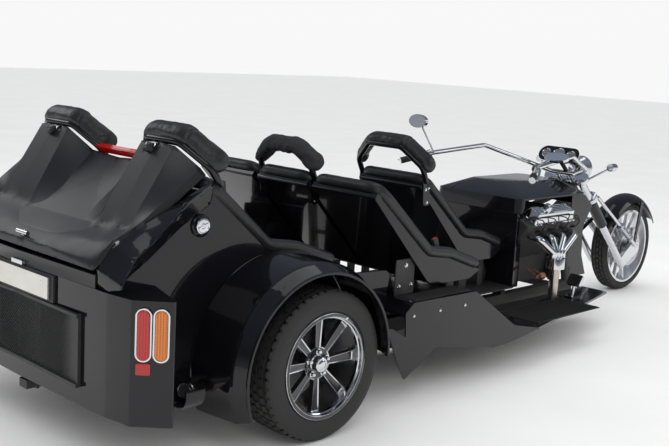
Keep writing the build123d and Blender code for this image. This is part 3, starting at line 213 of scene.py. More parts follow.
cast_alloy = worn_surface(
    "cast alloy", (0.5, 0.5, 0.51), (0.34, 0.34, 0.35), (0.35, 0.55), 12.0, 420, 0.35, 0.0006, metallic=1.0,
)
cast_iron = worn_surface(
    "painted block", (0.02, 0.02, 0.021), (0.045, 0.043, 0.04), (0.5, 0.7), 14.0, 220, 0.5, 0.001,
)
leather = worn_surface(
    "black leather", (0.012, 0.012, 0.013), (0.02, 0.02, 0.021), (0.36, 0.5), 7.0, 620, 0.35, 0.0005,
    cells=True,
)
smooth_leather = worn_surface(
    "stretched leather", (0.01, 0.01, 0.011), (0.017, 0.017, 0.018), (0.3, 0.42), 10.0, 800, 0.22, 0.0004,
    cells=True,
)
black_plastic = worn_surface(
    "moulded plastic", (0.018, 0.018, 0.019), (0.028, 0.028, 0.029), (0.42, 0.6), 11.0, 600, 0.3, 0.0005,
)
rubber = worn_surface(
    "rubber", (0.014, 0.014, 0.014), (0.022, 0.021, 0.02), (0.6, 0.8), 12.0, 500, 0.25, 0.0004,
)
tyre_rubber = worn_surface(
    "tyre rubber", (0.016, 0.016, 0.016), (0.03, 0.029, 0.027), (0.62, 0.85), 10.0, 420, 0.3, 0.0006,
)
cover_cloth = worn_surface(
    "cover cloth", (0.016, 0.016, 0.02), (0.028, 0.028, 0.034), (0.75, 0.9), 12.0, 900, 0.5, 0.0006,
)
plate_paint = worn_surface(
    "plate paint", (0.72, 0.71, 0.66), (0.62, 0.61, 0.56), (0.3, 0.42), 8.0, 500, 0.05, 0.0002,
)
rim_black = worn_surface(
    "rim black", (0.01, 0.01, 0.012), (0.02, 0.02, 0.023), (0.14, 0.24), 9.0, 700, 0.05, 0.0003, coat=0.8,
)
mirror_glass = worn_surface(
    "mirror glass", (0.85, 0.87, 0.89), (0.8, 0.82, 0.85), (0.01, 0.03), 5.0, 50, 0.0, 0.0001, metallic=1.0,
)
dial_face = worn_surface("dial face", (0.6, 0.6, 0.56), (0.5, 0.5, 0.47), (0.3, 0.4), 40.0, 900, 0.05)
copper = worn_surface(
    "copper pipe", (0.75, 0.36, 0.2), (0.5, 0.25, 0.14), (0.2, 0.35), 20.0, 400, 0.1, metallic=1.0,
)
red_lens = lens("red lens", (0.6, 0.008, 0.006), 130.0, 0.0)
amber_lens = lens("amber lens", (0.85, 0.22, 0.01), 130.0, 0.0)
clear_lens = lens("clear lens", (0.9, 0.92, 0.93), 90.0, 0.85)
front_axle, rear_axle = spot(wheelbase, 0, front_wheel_radius), spot(0, 0, rear_wheel_radius)
disc_steel = brushed_rings("turned disc steel", (0.55, 0.55, 0.56), front_axle)
polished_rim = brushed_rings("turned rim lip", (0.78, 0.78, 0.8), rear_axle)
polished_front_rim = brushed_rings("turned front rim", (0.78, 0.78, 0.8), front_axle)

# What the plainly finished nodes are made of, their edge rounding and the angle above which an edge is sharp
look_table = [
    (chassis_black, 0.004, 40, "frame"),
    (chassis_black, 0.003, 40, "rear_axle rear_springs"),
    (chassis_black, 0.003, 30, "frame_cross_members tow_hitch"),
    (chassis_black, 0.0015, 30, "seat_brackets"),
    (cast_iron, 0.006, 30, "engine"),
    (cast_alloy, 0.003, 40, "front_calipers"),
    (stainless, 0.001, 50, "exhaust down_pipes tail_pipes"),
    (stainless, 0.002, 40, "drive_shaft"),
    (chrome, 0.001, 50, "handlebars"),
    (chrome, 0.0015, 40, "lid_hinges"),
    (chrome, 0.002, 40, "lamp_bezels"),
    (chrome, 0.002, 50, "headers front_indicators"),
    (chrome, 0.0025, 50, "lid_handle"),
    (chrome, 0.003, 40, "fork foot_controls"),
    (chrome, 0.003, 50, "headlamp mirrors"),
    (chrome, 0.004, 40, "valve_covers"),
    (polished_front_rim, 0.002, 40, "front_rim"),
    (disc_steel, 0.0006, 40, "front_discs"),
    (gloss_black, 0.0012, 50, "front_fender"),
    (gloss_black, 0.0015, 50, "rear_fender_left rear_fender_right"),
    (gloss_black, 0.002, 30, "cheeks"),
    (gloss_black, 0.002, 50, "exhaust_shields head_hoops"),
    (gloss_black, 0.003, 30, "knee_wall"),
    (gloss_black, 0.003, 40, "side_board_left side_board_right rear_body seat_shells"),
    (gloss_black, 0.004, 40, "fork_shrouds engine_cover"),
    (gloss_black, 0.006, 50, "dash_pod"),
    (black_plastic, 0.002, 30, "floor_pan"),
    (black_plastic, 0.003, 30, "radiator"),
    (red_lens, 0.004, 40, "brake_light"),
    (red_lens, 0.006, 40, "tail_lamps_red"),
    (amber_lens, 0.006, 40, "tail_lamps_amber"),
]
node_body = {name: body for body, names in frame["record"]["behaviour"]["bodies"].items() for name in names}


# Mesh helpers
def add_object(name, shape):
    """An object made of a bmesh, which is freed."""
    mesh = bpy.data.meshes.new(name)
    shape.to_mesh(mesh)
    shape.free()
    made = bpy.data.objects.new(name, mesh)
    scene.collection.objects.link(made)
    return made


def finish_piece(name, shape, body, material, sharp=40, bevel=0.0, stands_for=()):
    """Turn a bmesh into a piece that rides on a body."""
    piece = add_object(name, shape)
    mesh = piece.data
    for face in mesh.polygons:
        face.use_smooth = True
    if sharp:
        mesh.set_sharp_from_angle(angle=radians(sharp))
    for each in material if isinstance(material, tuple) else (material,):
        mesh.materials.append(each)
    if bevel:
        rounding = piece.modifiers.new("rounding", "BEVEL")
        rounding.width = bevel
        rounding.segments = 2
        rounding.limit_method = "ANGLE"
        rounding.angle_limit = radians(sharp)
        rounding.harden_normals = True
    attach(piece, body)
    if stands_for:
        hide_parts(*stands_for)


def merged_copy(node, dissolve=True):
    """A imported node's mesh with its doubles merged and, if wanted, its flat faces joined."""
    shape = bmesh.new()
    shape.from_mesh(frame["nodes"][node].data)
    bmesh.ops.remove_doubles(shape, verts=shape.verts, dist=merge_distance)
    if dissolve:
        bmesh.ops.dissolve_limit(shape, angle_limit=radians(0.6), verts=shape.verts, edges=shape.edges)
    return shape


def stand_in(node, material, bevel, sharp, choose=None, prepare=None):
    """Stand a cleaned, edge-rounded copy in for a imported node. choose(face) picks among its materials."""
    shape = merged_copy(node)
    if prepare:
        prepare(shape)
    if choose:
        shape.normal_update()
        for face in shape.faces:
            face.material_index = choose(face)
    finish_piece(node + "_made", shape, node_body[node], material, sharp, bevel, stands_for=(node,))


chassis, steering = "chassis", node_body["handlebars"]


def spin_points(shape, points, centre, axis, steps, closed):
    """Spin a line of points about an axis."""
    verts = [shape.verts.new(point) for point in points]
    pairs = list(zip(verts, verts[1:])) + ([(verts[-1], verts[0])] if closed else [])
    edges = [shape.edges.new(pair) for pair in pairs]
    bmesh.ops.spin(
        shape, geom=verts + edges, cent=centre, axis=axis, angle=2 * pi, steps=steps, use_merge=True,
    )
    bmesh.ops.remove_doubles(shape, verts=shape.verts, dist=merge_distance)
    bmesh.ops.recalc_face_normals(shape, faces=shape.faces)


def spin_about(shape, profile, centre, axis, steps, closed=False):
    """Spin pairs of distance along an axis and radius about it."""
    axis = Vector(axis).normalized()
    facing = Vector((0, 0, 1)).rotation_difference(axis).to_matrix()
    points = [Vector(centre) + facing @ Vector((radius, 0, along)) for along, radius in profile]
    spin_points(shape, points, centre, axis, steps, closed)


def disc(shape, centre, normal, radius, depth, segments=32, top=None):
    """Add a short round bar standing on a point along a normal."""
    facing = Vector((0, 0, 1)).rotation_difference(Vector(normal)).to_matrix().to_4x4()
    place = Matrix.Translation(Vector(centre) + Vector(normal).normalized() * depth / 2) @ facing
    bmesh.ops.create_cone(
        shape, cap_ends=True, segments=segments, radius1=radius, radius2=radius if top is None else top,
        depth=depth, matrix=place,
    )


def block(shape, centre, size, turn=None):
    """Add a box."""
    place = Matrix.Translation(Vector(centre)) @ (turn or Matrix.Identity(4)) @ Matrix.Diagonal((*size, 1))
    bmesh.ops.create_cube(shape, size=1, matrix=place)


# Lines and swept forms
shortest_step = 0.0005


def rounded_path(corners, radii, spacing):
    """Points along straight runs joined by tangent arcs."""
    corners = [Vector(corner) for corner in corners]
    line = [corners[0]]
    for before, corner, after, radius in zip(corners, corners[1:], corners[2:], radii):
        back = (before - corner).normalized()
        ahead = (after - corner).normalized()
        half_turn = (pi - back.angle(ahead)) / 2
        room = 0.49 * min((before - corner).length, (after - corner).length)
        reach = min(radius * tan(half_turn), room)
        bend = reach / tan(half_turn)
        centre = corner + (back + ahead).normalized() * bend / cos(half_turn)
        first_arm = (corner + back * reach - centre).normalized()
        last_arm = (corner + ahead * reach - centre).normalized()
        steps = max(3, int(2 * half_turn * bend / spacing))
        line += [centre + first_arm.slerp(last_arm, step / steps) * bend for step in range(steps + 1)]
    line.append(corners[-1])
    even = [line[0]]
    for start, end in zip(line, line[1:]):
        runs = max(1, round((end - start).length / spacing))
        even += [start.lerp(end, run / runs) for run in range(1, runs + 1)]
    steps = zip(even, even[1:])
    return [even[0]] + [point for before, point in steps if (point - before).length > shortest_step]


def sweep(shape, line, outline, sides, upward):
    """Wrap a grid round a line. outline(travelled, total, angle) gives its reach across and upward."""
    line = [Vector(point) for point in line]
    total = sum((after - before).length for before, after in zip(line, line[1:]))
    grid = bmesh.ops.create_grid(shape, x_segments=sides, y_segments=len(line) - 1, size=1)["verts"]
    up = Vector(upward)
    travelled = 0.0
    stations = []
    for index, point in enumerate(line):
        ahead = (line[min(index + 1, len(line) - 1)] - line[max(index - 1, 0)]).normalized()
        up = (up - ahead * up.dot(ahead)).normalized()
        if index:
            travelled += (point - line[index - 1]).length
        stations.append((point, ahead.cross(up), up, travelled))
    for vert in grid:
        point, across, upright, along = stations[round((vert.co.y + 1) / 2 * (len(line) - 1))]
        wide, high = outline(along, total, (vert.co.x + 1) * pi)
        vert.co = point + across * wide + upright * high
    bmesh.ops.remove_doubles(shape, verts=grid, dist=0.000002)
    bmesh.ops.holes_fill(shape, edges=[edge for edge in shape.edges if edge.is_boundary], sides=0)
    bmesh.ops.recalc_face_normals(shape, faces=shape.faces)


def dome(travelled, total, depth):
    """How wide a form is near its rounded ends, from 0 to 1."""
    end = min(travelled, total - travelled)
    return sqrt(max(0.03, 1 - max(0.0, 1 - end / depth) ** 2))


def bar(wide, high=None, ends=None):
    """The outline of a round or oval bar, with rounded ends if they have a depth."""
    def outline(travelled, total, angle):
        swell = dome(travelled, total, ends) if ends else 1
        return wide * swell * cos(angle), (high or wide) * swell * sin(angle)
    return outline


def bolt(shape, centre, normal, size):
    """A hex head on a washer."""
    normal = Vector(normal).normalized()
    disc(shape, centre, normal, size, size * 0.25, 20)
    disc(shape, Vector(centre) + normal * size * 0.25, normal, size * 0.76, size * 0.5, 6, size * 0.7)


def local_frame(centre, across, normal):
    """A matrix whose X runs across and whose Z stands on a surface."""
    across, normal = Vector(across).normalized(), Vector(normal).normalized()
    turned = Matrix((across, normal.cross(across), normal)).transposed().to_4x4()
    return Matrix.Translation(Vector(centre)) @ turned


def local_block(shape, place, centre, size):
    """Add a box in a local frame."""
    scale = Matrix.Diagonal((*size, 1))
    bmesh.ops.create_cube(shape, size=1, matrix=place @ Matrix.Translation(Vector(centre)) @ scale)


# Soft goods
def split_pieces(node):
    """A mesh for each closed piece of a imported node, with the middle of its box."""
    whole = merged_copy(node, dissolve=False)
    whole.faces.ensure_lookup_table()
    unseen = set(range(len(whole.faces)))
    pieces = []
    while unseen:
        found = {unseen.pop()}
        stack = list(found)
        while stack:
            for edge in whole.faces[stack.pop()].edges:
                for face in edge.link_faces:
                    if face.index in unseen:
                        unseen.discard(face.index)
                        found.add(face.index)
                        stack.append(face.index)
        piece = whole.copy()
        piece.faces.ensure_lookup_table()
        others = [face for face in piece.faces if face.index not in found]
        bmesh.ops.delete(piece, geom=others, context="FACES")
        low, high = (
            Vector([pick(vert.co[axis] for vert in piece.verts) for axis in range(3)]) for pick in (min, max)
        )
        pieces.append((piece, (low + high) / 2))
    whole.free()
    return pieces


def evaluated_mesh(piece):
    """The mesh of a piece with its modifiers applied."""
    scene.view_layers[0].update()
    graph = bpy.context.evaluated_depsgraph_get()
    return bpy.data.meshes.new_from_object(piece.evaluated_get(graph), depsgraph=graph)


cloth_frames = 20


def puff(shape, voxel, start_inset, pressure, limit, spare):
    """Remesh a cushion, blow it up as cloth inside its solid, cap the moves, apply and subdivide once.

    No vertex moves further than the limit. What faces forward or up may pass the solid by the spare.
    """
    solid = BVHTree.FromBMesh(shape)
    for vert in shape.verts:
        vert.co -= vert.normal * start_inset
    cushion = add_object("cushion", shape)
    cells = cushion.modifiers.new("cells", "REMESH")
    cells.mode = "VOXEL"
    cells.voxel_size = voxel
    remeshed = evaluated_mesh(cushion)
    cushion.modifiers.clear()
    cushion.data = remeshed
    start = [vert.co.copy() for vert in remeshed.vertices]
    cloth = cushion.modifiers.new("cloth", "CLOTH")
    cloth.settings.effector_weights.gravity = 0
    cloth.settings.quality = 4
    cloth.settings.mass = 0.3
    cloth.settings.use_pressure = True
    cloth.settings.uniform_pressure_force = pressure
    cloth.collision_settings.use_collision = False
    cloth.point_cache.frame_start = 1
    cloth.point_cache.frame_end = cloth_frames
    for step in range(1, cloth_frames + 1):
        scene.frame_set(step)
    settled = evaluated_mesh(cushion)
    ends = [vert.co.copy() for vert in settled.vertices]
    cushion.modifiers.clear()
    scene.frame_set(1)
    for vert, first, last in zip(remeshed.vertices, start, ends):
        move = last - first
        if move.length > limit:
            move = move.normalized() * limit
        target = first + move
        nearest, normal, _, _ = solid.find_nearest(target)
        outside = (target - nearest).dot(normal)
        allowed = spare if normal.z > 0.35 or normal.x > 0.35 else -0.001
        if outside > allowed:
            target -= normal * (outside - allowed)
        vert.co = target
    finer = cushion.modifiers.new("finer", "SUBSURF")
    finer.levels = finer.render_levels = 1
    fine_mesh = evaluated_mesh(cushion)
    bpy.data.objects.remove(cushion)
    soft = bmesh.new()
    soft.from_mesh(fine_mesh)
    return soft


def sew(soft, depth_at):
    """Press seams into a cushion. depth_at(place, normal) gives how deep each vertex is pulled in."""
    soft.normal_update()
    moves = [(vert, vert.normal * depth_at(vert.co, vert.normal)) for vert in soft.verts]
    for vert, move in moves:
        vert.co -= move


def groove(distance, width=0.006):
    """A bell that is 1 on a line and falls off beside it."""
    return exp(-(distance / width) ** 2)


long_reach = 0.432
seat_table = [
    # row, hip X, hip Z, middle Y, width, back length, reach to the front
    ("rear", -0.113, 0.848, 0.411, 0.44, 0.45, long_reach),
    ("rear", -0.113, 0.848, -0.411, 0.44, 0.45, long_reach),
    ("middle", 0.946, 0.721, 0.45, 0.44, 0.53, long_reach),
    ("middle", 0.946, 0.721, 0.0, 0.38, 0.53, long_reach),
    ("middle", 0.946, 0.721, -0.45, 0.44, 0.53, long_reach),
    ("rider", 1.786, 0.671, 0.0, 0.48, 0.53, 0.385),
]
# Directions up along a seat's back and out of its front
back_lean = Vector((-0.757, 0, 0.652))
back_face = Vector((0.652, 0, 0.757))
# Seams: width of a pad's side panels, depth, and distances from the hip up the back and forward
side_panel, seam_depth = 0.085, 0.0045
back_seams, cushion_seams = (0.17, 0.31), (0.13, 0.25)


def pad_seams(hip_x, hip_z, middle_y, half_width):
    """Sewn lines of a bucket seat: side panels, two across the back and two across the seat."""
    def depth(place, normal):
        if normal.dot(back_face) < 0.3 and normal.z < 0.5:
            return 0.0
        from_hip = place - spot(hip_x, middle_y, hip_z)
        up_back = from_hip.dot(back_lean)
        past_panel = abs(from_hip.y) - half_width + side_panel
        if up_back > 0.05 and from_hip.x < 0.02:
            rows = sum(groove(up_back - seam) for seam in back_seams)
        else:
            rows = sum(groove(from_hip.x - seam) for seam in cushion_seams)
        return seam_depth * min(1.0, groove(past_panel) + (rows if past_panel < 0 else 0.0))
    return depth


made_pads = {}
for piece, middle in sorted(split_pieces("seat_pads"), key=lambda pair: (pair[1].x, pair[1].y)):
    flat_middle = Vector((middle.x, middle.y, 0))
    row, hip_x, hip_z, seat_y, width, *_ = min(
        seat_table, key=lambda seat: (spot(seat[1] + 0.1, seat[3], 0) - flat_middle).length,
    )
    kind = (row, width)
    if kind in made_pads:
        first_shape, first_y = made_pads[kind]
        soft = first_shape.copy()
        bmesh.ops.translate(soft, verts=soft.verts, vec=(0, seat_y - first_y, 0))
        piece.free()
    else:
        soft = puff(piece, voxel=0.0115, start_inset=0.008, pressure=4.0, limit=0.014, spare=0.006)
        sew(soft, pad_seams(hip_x, hip_z, seat_y, width / 2 - 0.01))
        made_pads[kind] = (soft.copy(), seat_y)
    finish_piece(
        f"seat_pad_{row}_{round(seat_y * 1000)}", soft, chassis, leather, 0,
        stands_for=("seat_pads",),
    )

roll_radius = 0.0295


def roll_outline(radius):
    """A leather roll with a seam along it, stitched joints and fine creases."""
    def outline(travelled, total, angle):
        joints = sum(groove(travelled - share * total, 0.004) for share in (0.2, 0.4, 0.6, 0.8))
        seam = groove(angle - 1.5 * pi, 0.12)
        crease = noise.noise(Vector((travelled * 42, cos(angle) * 1.6, sin(angle) * 1.6)))
        reach = radius * dome(travelled, total, radius) * (1 - 0.1 * joints - 0.09 * seam + 0.035 * crease)
        return reach * cos(angle), reach * sin(angle)
    return outline


for row, hip_x, hip_z, seat_y, width, back_length, reach in seat_table:
    front_z = -0.15 + (long_reach - reach) * 0.35
    top = Vector((-0.012, 0, -0.032)) + back_lean * back_length + back_face * 0.024
    side_line = [(reach - 0.024, front_z + 0.032), (0.165, -0.033), (-0.004, -0.008), (top.x, top.z)]
    half = width / 2 - 0.008
    near = [spot(hip_x + x, seat_y + half, hip_z + z) for x, z in side_line]
    far = [spot(hip_x + x, seat_y - half, hip_z + z) for x, z in reversed(side_line)]
    shape = bmesh.new()
    line = rounded_path(near + far, (0.16, 0.09, 0.055, 0.055, 0.09, 0.16), 0.013)
    sweep(shape, line, roll_outline(roll_radius), 20, (0, 0, 1))
    finish_piece(
        f"seat_roll_{row}_{round(seat_y * 1000)}", shape, chassis, smooth_leather, 0,
        stands_for=("seat_rolls",),
    )

hoop_table = [
    # row, Y centre, half width of the seat, foot X, foot Z, lean back in degrees, rise
    ("rear", 0.411, 0.22, -0.398, 1.12, 38, 0.215),
    ("rear", -0.411, 0.22, -0.398, 1.12, 38, 0.215),
    ("middle", 0.0, 0.19, 0.566, 1.04, 22, 0.15),
    ("rider", 0.0, 0.24, 1.392, 0.985, 26, 0.215),
]


def bolster_outline(wide, thick, folds, fold_size):
    """An oval pad with gathered folds across it."""
    def outline(travelled, total, angle):
        fold = noise.noise(Vector((travelled * fold_size, cos(angle) * 1.1, sin(angle) * 1.1)))
        ripple = noise.noise(Vector((travelled * fold_size * 2.6 + 7, cos(angle) * 0.7, sin(angle) * 0.7)))
        swell = dome(travelled, total, 0.04) * (1 + folds * (fold + 0.5 * ripple))
        return thick * cos(angle) * swell, wide * sin(angle) * swell
    return outline


for row, hoop_y, half, foot_x, foot_z, lean, rise in hoop_table:
    forward = Vector((cos(radians(lean)), 0, sin(radians(lean))))
    back, up = sin(radians(lean)), cos(radians(lean))
    covered = row == "middle"
    ahead = 0.03 if covered else 0.046
    wide = half + 0.013
    tall = rise + 0.014
    cut = rise * (0.25 if covered else 0.2)
    arch = [(wide, cut), (wide, tall * 0.45), (wide * 0.5, tall)]
    arch += [(-across, high) for across, high in reversed(arch)]
    corners = [
        spot(foot_x - high * back, hoop_y + across, foot_z + high * up) + forward * ahead
        for across, high in arch
    ]
    shape = bmesh.new()
    line = rounded_path(corners, (0.06, 0.06, 0.06, 0.06), 0.011)
    outline = bolster_outline(0.056, 0.04, 0.16, 26) if covered else bolster_outline(0.05, 0.0295, 0.05, 18)
    sweep(shape, line, outline, 26, forward)
    soft = puff(shape, voxel=0.0085, start_inset=0.001, pressure=3.0, limit=0.004, spare=0.003)

    def hoop_seams(place, _, hoop_y=hoop_y, covered=covered):
        """Creases on the cover, or a seam round each shoulder of a pad and fine creases."""
        if covered:
            return 0.003 * noise.noise(place * 34)
        shoulder = groove(abs(place.y - hoop_y) - 0.15, 0.005)
        return 0.003 * shoulder + 0.0012 * noise.noise(place * 45)

    sew(soft, hoop_seams)
    finish_piece(
        f"head_{'cover' if covered else 'pad'}_{row}_{round(hoop_y * 1000)}", soft, chassis,
        cover_cloth if covered else smooth_leather, 0,
        stands_for=("head_cover",) if covered else ("head_pads",),
    )

# Tyres, spun with grooves and cut with cross sipes
tread_steps, tread_depth, tread_margin = 150, 0.016, 0.004
groove_top, groove_floor, groove_depth = 0.005, 0.0038, 0.007


def tyre(node, centre_x, radius, half_width, bead_radius, middle_y, grooves, sipe_depth):
    """A tyre whose tread lanes lie between grooves, with sipes across each lane."""
    wall = radius - bead_radius
    crown = 0.1 * half_width
    half = [
        (half_width - inset, height) for inset, height in (
            (0.034, bead_radius), (0.016, bead_radius + 0.006), (0.012, bead_radius + 0.014),
            (0.007, bead_radius + 0.016), (0.002, bead_radius + wall * 0.3), (0, bead_radius + wall * 0.46),
            (0.0006, bead_radius + wall * 0.52), (0, bead_radius + wall * 0.54),
            (0.002, bead_radius + wall * 0.68), (0.006, radius - 0.022), (0.012, radius - 0.012),
            (0.022, radius - 0.004),
        )
    ]
    for channel in grooves:
        top = radius - crown * (channel / half_width) ** 2
        half += [
            (channel + groove_top, top), (channel + groove_floor, top - groove_depth),
            (channel - groove_floor, top - groove_depth), (channel - groove_top, top),
        ]
    if grooves[-1] > groove_top:
        half.append((0, radius))
    mirrored = [(-y, r) for y, r in reversed(half) if y > 0.0001]
    points = [spot(centre_x, middle_y + y, radius + r) for y, r in half + mirrored]
    shape = bmesh.new()
    spin_points(shape, points, spot(centre_x, 0, radius), (0, 1, 0), tread_steps, True)
    sipes = []
    for face in shape.faces:
        middle = face.calc_center_median()
        across = abs(middle.y - middle_y)
        height = sqrt((middle.x - centre_x - rear_axle_x) ** 2 + (middle.z - radius) ** 2)
        if height < radius - tread_depth or across > half_width - tread_margin:
            continue
        if any(abs(across - channel) < groove_top - 0.0001 for channel in grooves):
            continue
        turned = atan2(middle.z - radius, middle.x - centre_x - rear_axle_x) + pi
        step = int(turned / (2 * pi) * tread_steps)
        lane = sum(across < channel for channel in grooves)
        if (step + lane) % 3 == 0:
            sipes.append(face)
    for face in bmesh.ops.extrude_discrete_faces(shape, faces=sipes)["faces"]:
        middle = face.calc_center_median()
        inward = Vector((centre_x + rear_axle_x - middle.x, 0, radius - middle.z)).normalized()
        bmesh.ops.translate(shape, verts=face.verts, vec=inward * sipe_depth)
    finish_piece(node + "_tread", shape, node_body[node], tyre_rubber, 28, stands_for=(node,))


both_sides = ((1, "left"), (-1, "right"))
for side, side_name in both_sides:
    tyre(
        f"rear_tyre_{side_name}", 0, rear_wheel_radius, 0.1225, 0.2273, side * rear_wheel_y,
        (0.082, 0.047, 0.0142), 0.006,
    )
tyre("front_tyre", wheelbase, front_wheel_radius, 0.065, 0.2683, 0, (0.038, 0.0125), 0.004)

# Rear wheels. Profiles are pairs of distance out from the rim's face and radius.
rim_lip = [
    (0.0605, 0.2365), (0.0615, 0.2285), (0.056, 0.2195), (0.047, 0.2175), (0.044, 0.2125),
    (0.03, 0.2115), (0.03, 0.2195), (0.052, 0.2215), (0.0575, 0.2295),
]
hub_cap = [
    (0.026, 0.033), (0.029, 0.0328), (0.031, 0.03), (0.0305, 0.024), (0.034, 0.02), (0.036, 0.012),
    (0.0365, 0),
]
nut_circle, polished_from, outline_width, spoke_sink = 0.054, 0.202, 0.0042, 0.0035


def wheel_detail(side, side_name):
    """A rear rim with outlined petal spokes and a polished lip, and its nuts, cap and valve."""
    face_y = side * rim_face_y
    centre = Vector((rear_axle.x, face_y, rear_axle.z))
    outward = Vector((0, side, 0))
    outlines = []

    def outline_spokes(shape):
        """Draw a narrow outline round each spoke's face and sink what lies inside it."""
        shape.normal_update()
        front = [
            face for face in shape.faces
            if face.normal.y * side > 0.98 and abs(face.calc_center_median().y - face_y) < 0.001
        ]
        rims = bmesh.ops.inset_region(
            shape, faces=front, thickness=outline_width, depth=0.0, use_even_offset=True,
        )
        outlines.extend(face.calc_center_median() for face in rims["faces"])
        inner = {vert for face in front for vert in face.verts}
        bmesh.ops.translate(shape, verts=list(inner), vec=outward * -spoke_sink)

    def choose(face):
        """Polished on the lip and on the spokes' outlines, black elsewhere."""
        middle = face.calc_center_median()
        radius = sqrt((middle.x - rear_axle.x) ** 2 + (middle.z - rear_axle.z) ** 2)
        on_outline = any((middle - place).length < 0.003 for place in outlines)
        return 1 if radius > polished_from or on_outline else 0

    stand_in(f"rear_rim_{side_name}", (rim_black, polished_rim), 0.0012, 40, choose, outline_spokes)
    lip = bmesh.new()
    spin_about(lip, rim_lip, centre, outward, 96, True)
    nuts = bmesh.new()
    for number in range(5):
        angle = radians(90 + 72 * number)
        nut = centre + Vector((nut_circle * cos(angle), 0, nut_circle * sin(angle)))
        disc(nuts, nut, outward, 0.0135, 0.003, 24)
        disc(nuts, nut + outward * 0.003, outward, 0.0105, 0.014, 6, 0.0098)
        disc(nuts, nut + outward * 0.017, outward, 0.0088, 0.003, 24, 0.006)
    spin_about(nuts, hub_cap, centre, outward, 36)
    valve = bmesh.new()
    disc(valve, centre + Vector((0.19, side * 0.004, 0.04)), (-0.5, side, -0.1), 0.004, 0.034, 12, 0.003)
    wheel = f"rear_wheel_{side_name}"
    finish_piece(f"rim_lip_{side_name}", lip, wheel, chrome, 40)
    finish_piece(f"wheel_nuts_{side_name}", nuts, wheel, chrome, 35)
    finish_piece(f"tyre_valve_{side_name}", valve, wheel, black_plastic, 35)


for side, side_name in both_sides:
    wheel_detail(side, side_name)

# Grille of fine diamonds in a frame that is bowed as the tail is
tail_end, tail_bow, tail_half = -0.957, 0.012, 0.65
grille_half, grille_rise, grille_z, grille_sink, wire = 0.466, 0.137, 0.4665, 0.008, 0.0032


def tail_x(y):
    """Distance of the tail's outer face from the rear axle."""
    return tail_end + tail_bow * abs(y) / tail_half


shape = bmesh.new()
bmesh.ops.create_grid(shape, x_segments=58, y_segments=17, size=1)
grid_edges = list(shape.edges)
bmesh.ops.poke(shape, faces=shape.faces)
inner_edges = [edge for edge in grid_edges if len(edge.link_faces) == 2]
bmesh.ops.dissolve_edges(shape, edges=inner_edges, use_verts=False)
for vert in shape.verts:
    y = vert.co.x * grille_half
    vert.co = spot(tail_x(y) - grille_sink, y, grille_z + vert.co.y * grille_rise)
bmesh.ops.recalc_face_normals(shape, faces=shape.faces)
bmesh.ops.wireframe(
    shape, faces=shape.faces, thickness=wire, offset=0, use_replace=True, use_boundary=True,
    use_even_offset=True,
)
finish_piece("grille_diamonds", shape, chassis, black_plastic, 35, stands_for=("rear_grille",))
shape = bmesh.new()
for half in (1, -1):
    lean = Matrix.Rotation(half * atan2(tail_bow, tail_half), 4, "Z")
    for level in (0.3235, 0.6095):
        block(shape, spot(tail_x(0.24) - grille_sink, half * 0.24, level), (0.0155, 0.481, 0.0145), lean)
    block(shape, spot(tail_x(0.472) - grille_sink, half * 0.472, grille_z), (0.0155, 0.0155, 0.3), lean)
    block(shape, spot(tail_x(0.24) - 0.0015, half * 0.24, grille_z), (0.002, 0.48, 0.29), lean)
finish_piece("grille_frame", shape, chassis, black_plastic, 35, 0.002)

# Blank number plate on a dark carrier
plate_z, plate_half, plate_rise, carrier_x, border_x = 0.676, 0.26, 0.0475, -0.9655, -0.9715


def plate_choice(face):
    """The raised sheet is pale and its carrier dark."""
    places = [vert.co - spot(0, 0, 0) for vert in face.verts]
    raised = all(
        place.x < carrier_x and abs(place.y) < plate_half + 0.0005 and abs(place.z - plate_z) < plate_rise
        for place in places
    )
    return 1 if raised else 0


stand_in("number_plate", (black_plastic, plate_paint), 0.0015, 30, plate_choice)
shape = bmesh.new()
for y in (-plate_half, plate_half):
    block(shape, spot(border_x, y, plate_z), (0.002, 0.005, 0.098))
for level in (plate_z - plate_rise, plate_z + plate_rise):
    block(shape, spot(border_x, 0, level), (0.002, 0.525, 0.004))
finish_piece("plate_border", shape, chassis, black_plastic, 35)

# Middle of a valve cover, which leans outward by 30 degrees
cover_x, cover_y, cover_z = 2.4975, 0.3408, 0.721


def cover_axes(side):
    """The directions across and out of a valve cover."""
    return Vector((0, -side * 0.866, 0.5)), Vector((0, side * 0.5, 0.866))


# Bolts on the chassis: number plate, hoops' feet, step boxes, valve covers and side boards
bolts = bmesh.new()
for y in (-0.2, 0.2):
    bolt(bolts, spot(-0.969, y, 0.7), (-1, 0, 0), 0.005)
for _, hoop_y, half, foot_x, foot_z, _, _ in hoop_table:
    for side in (1, -1):
        y = hoop_y + side * (half + 0.008)
        if abs(y) < 0.6:
            for ahead, low in ((-0.006, 0.038), (0.018, 0.03), (0.01, 0.112)):
                bolt(bolts, spot(foot_x + ahead, y, foot_z - low), (0, side, 0), 0.0085)
for side in (1, -1):
    for x, z in ((0.745, 0.55), (0.835, 0.55), (0.79, 0.655), (1.155, 0.54)):
        bolt(bolts, spot(x, side * 0.65, z), (0, side, 0), 0.011)
    across, outward = cover_axes(side)
    for x, shift in ((2.31, -0.058), (2.31, 0.058), (cover_x, -0.058), (2.685, -0.058), (2.685, 0.058)):
        bolt(bolts, spot(x, side * cover_y, cover_z) + across * shift + outward * 0.01, outward, 0.007)
    for x in (0.7, 0.9, 1.1):
        bolt(bolts, spot(x, side * 0.8, 0.44), (0, side, 0), 0.0075)
finish_piece("chassis_bolts", bolts, chassis, chrome, 30)

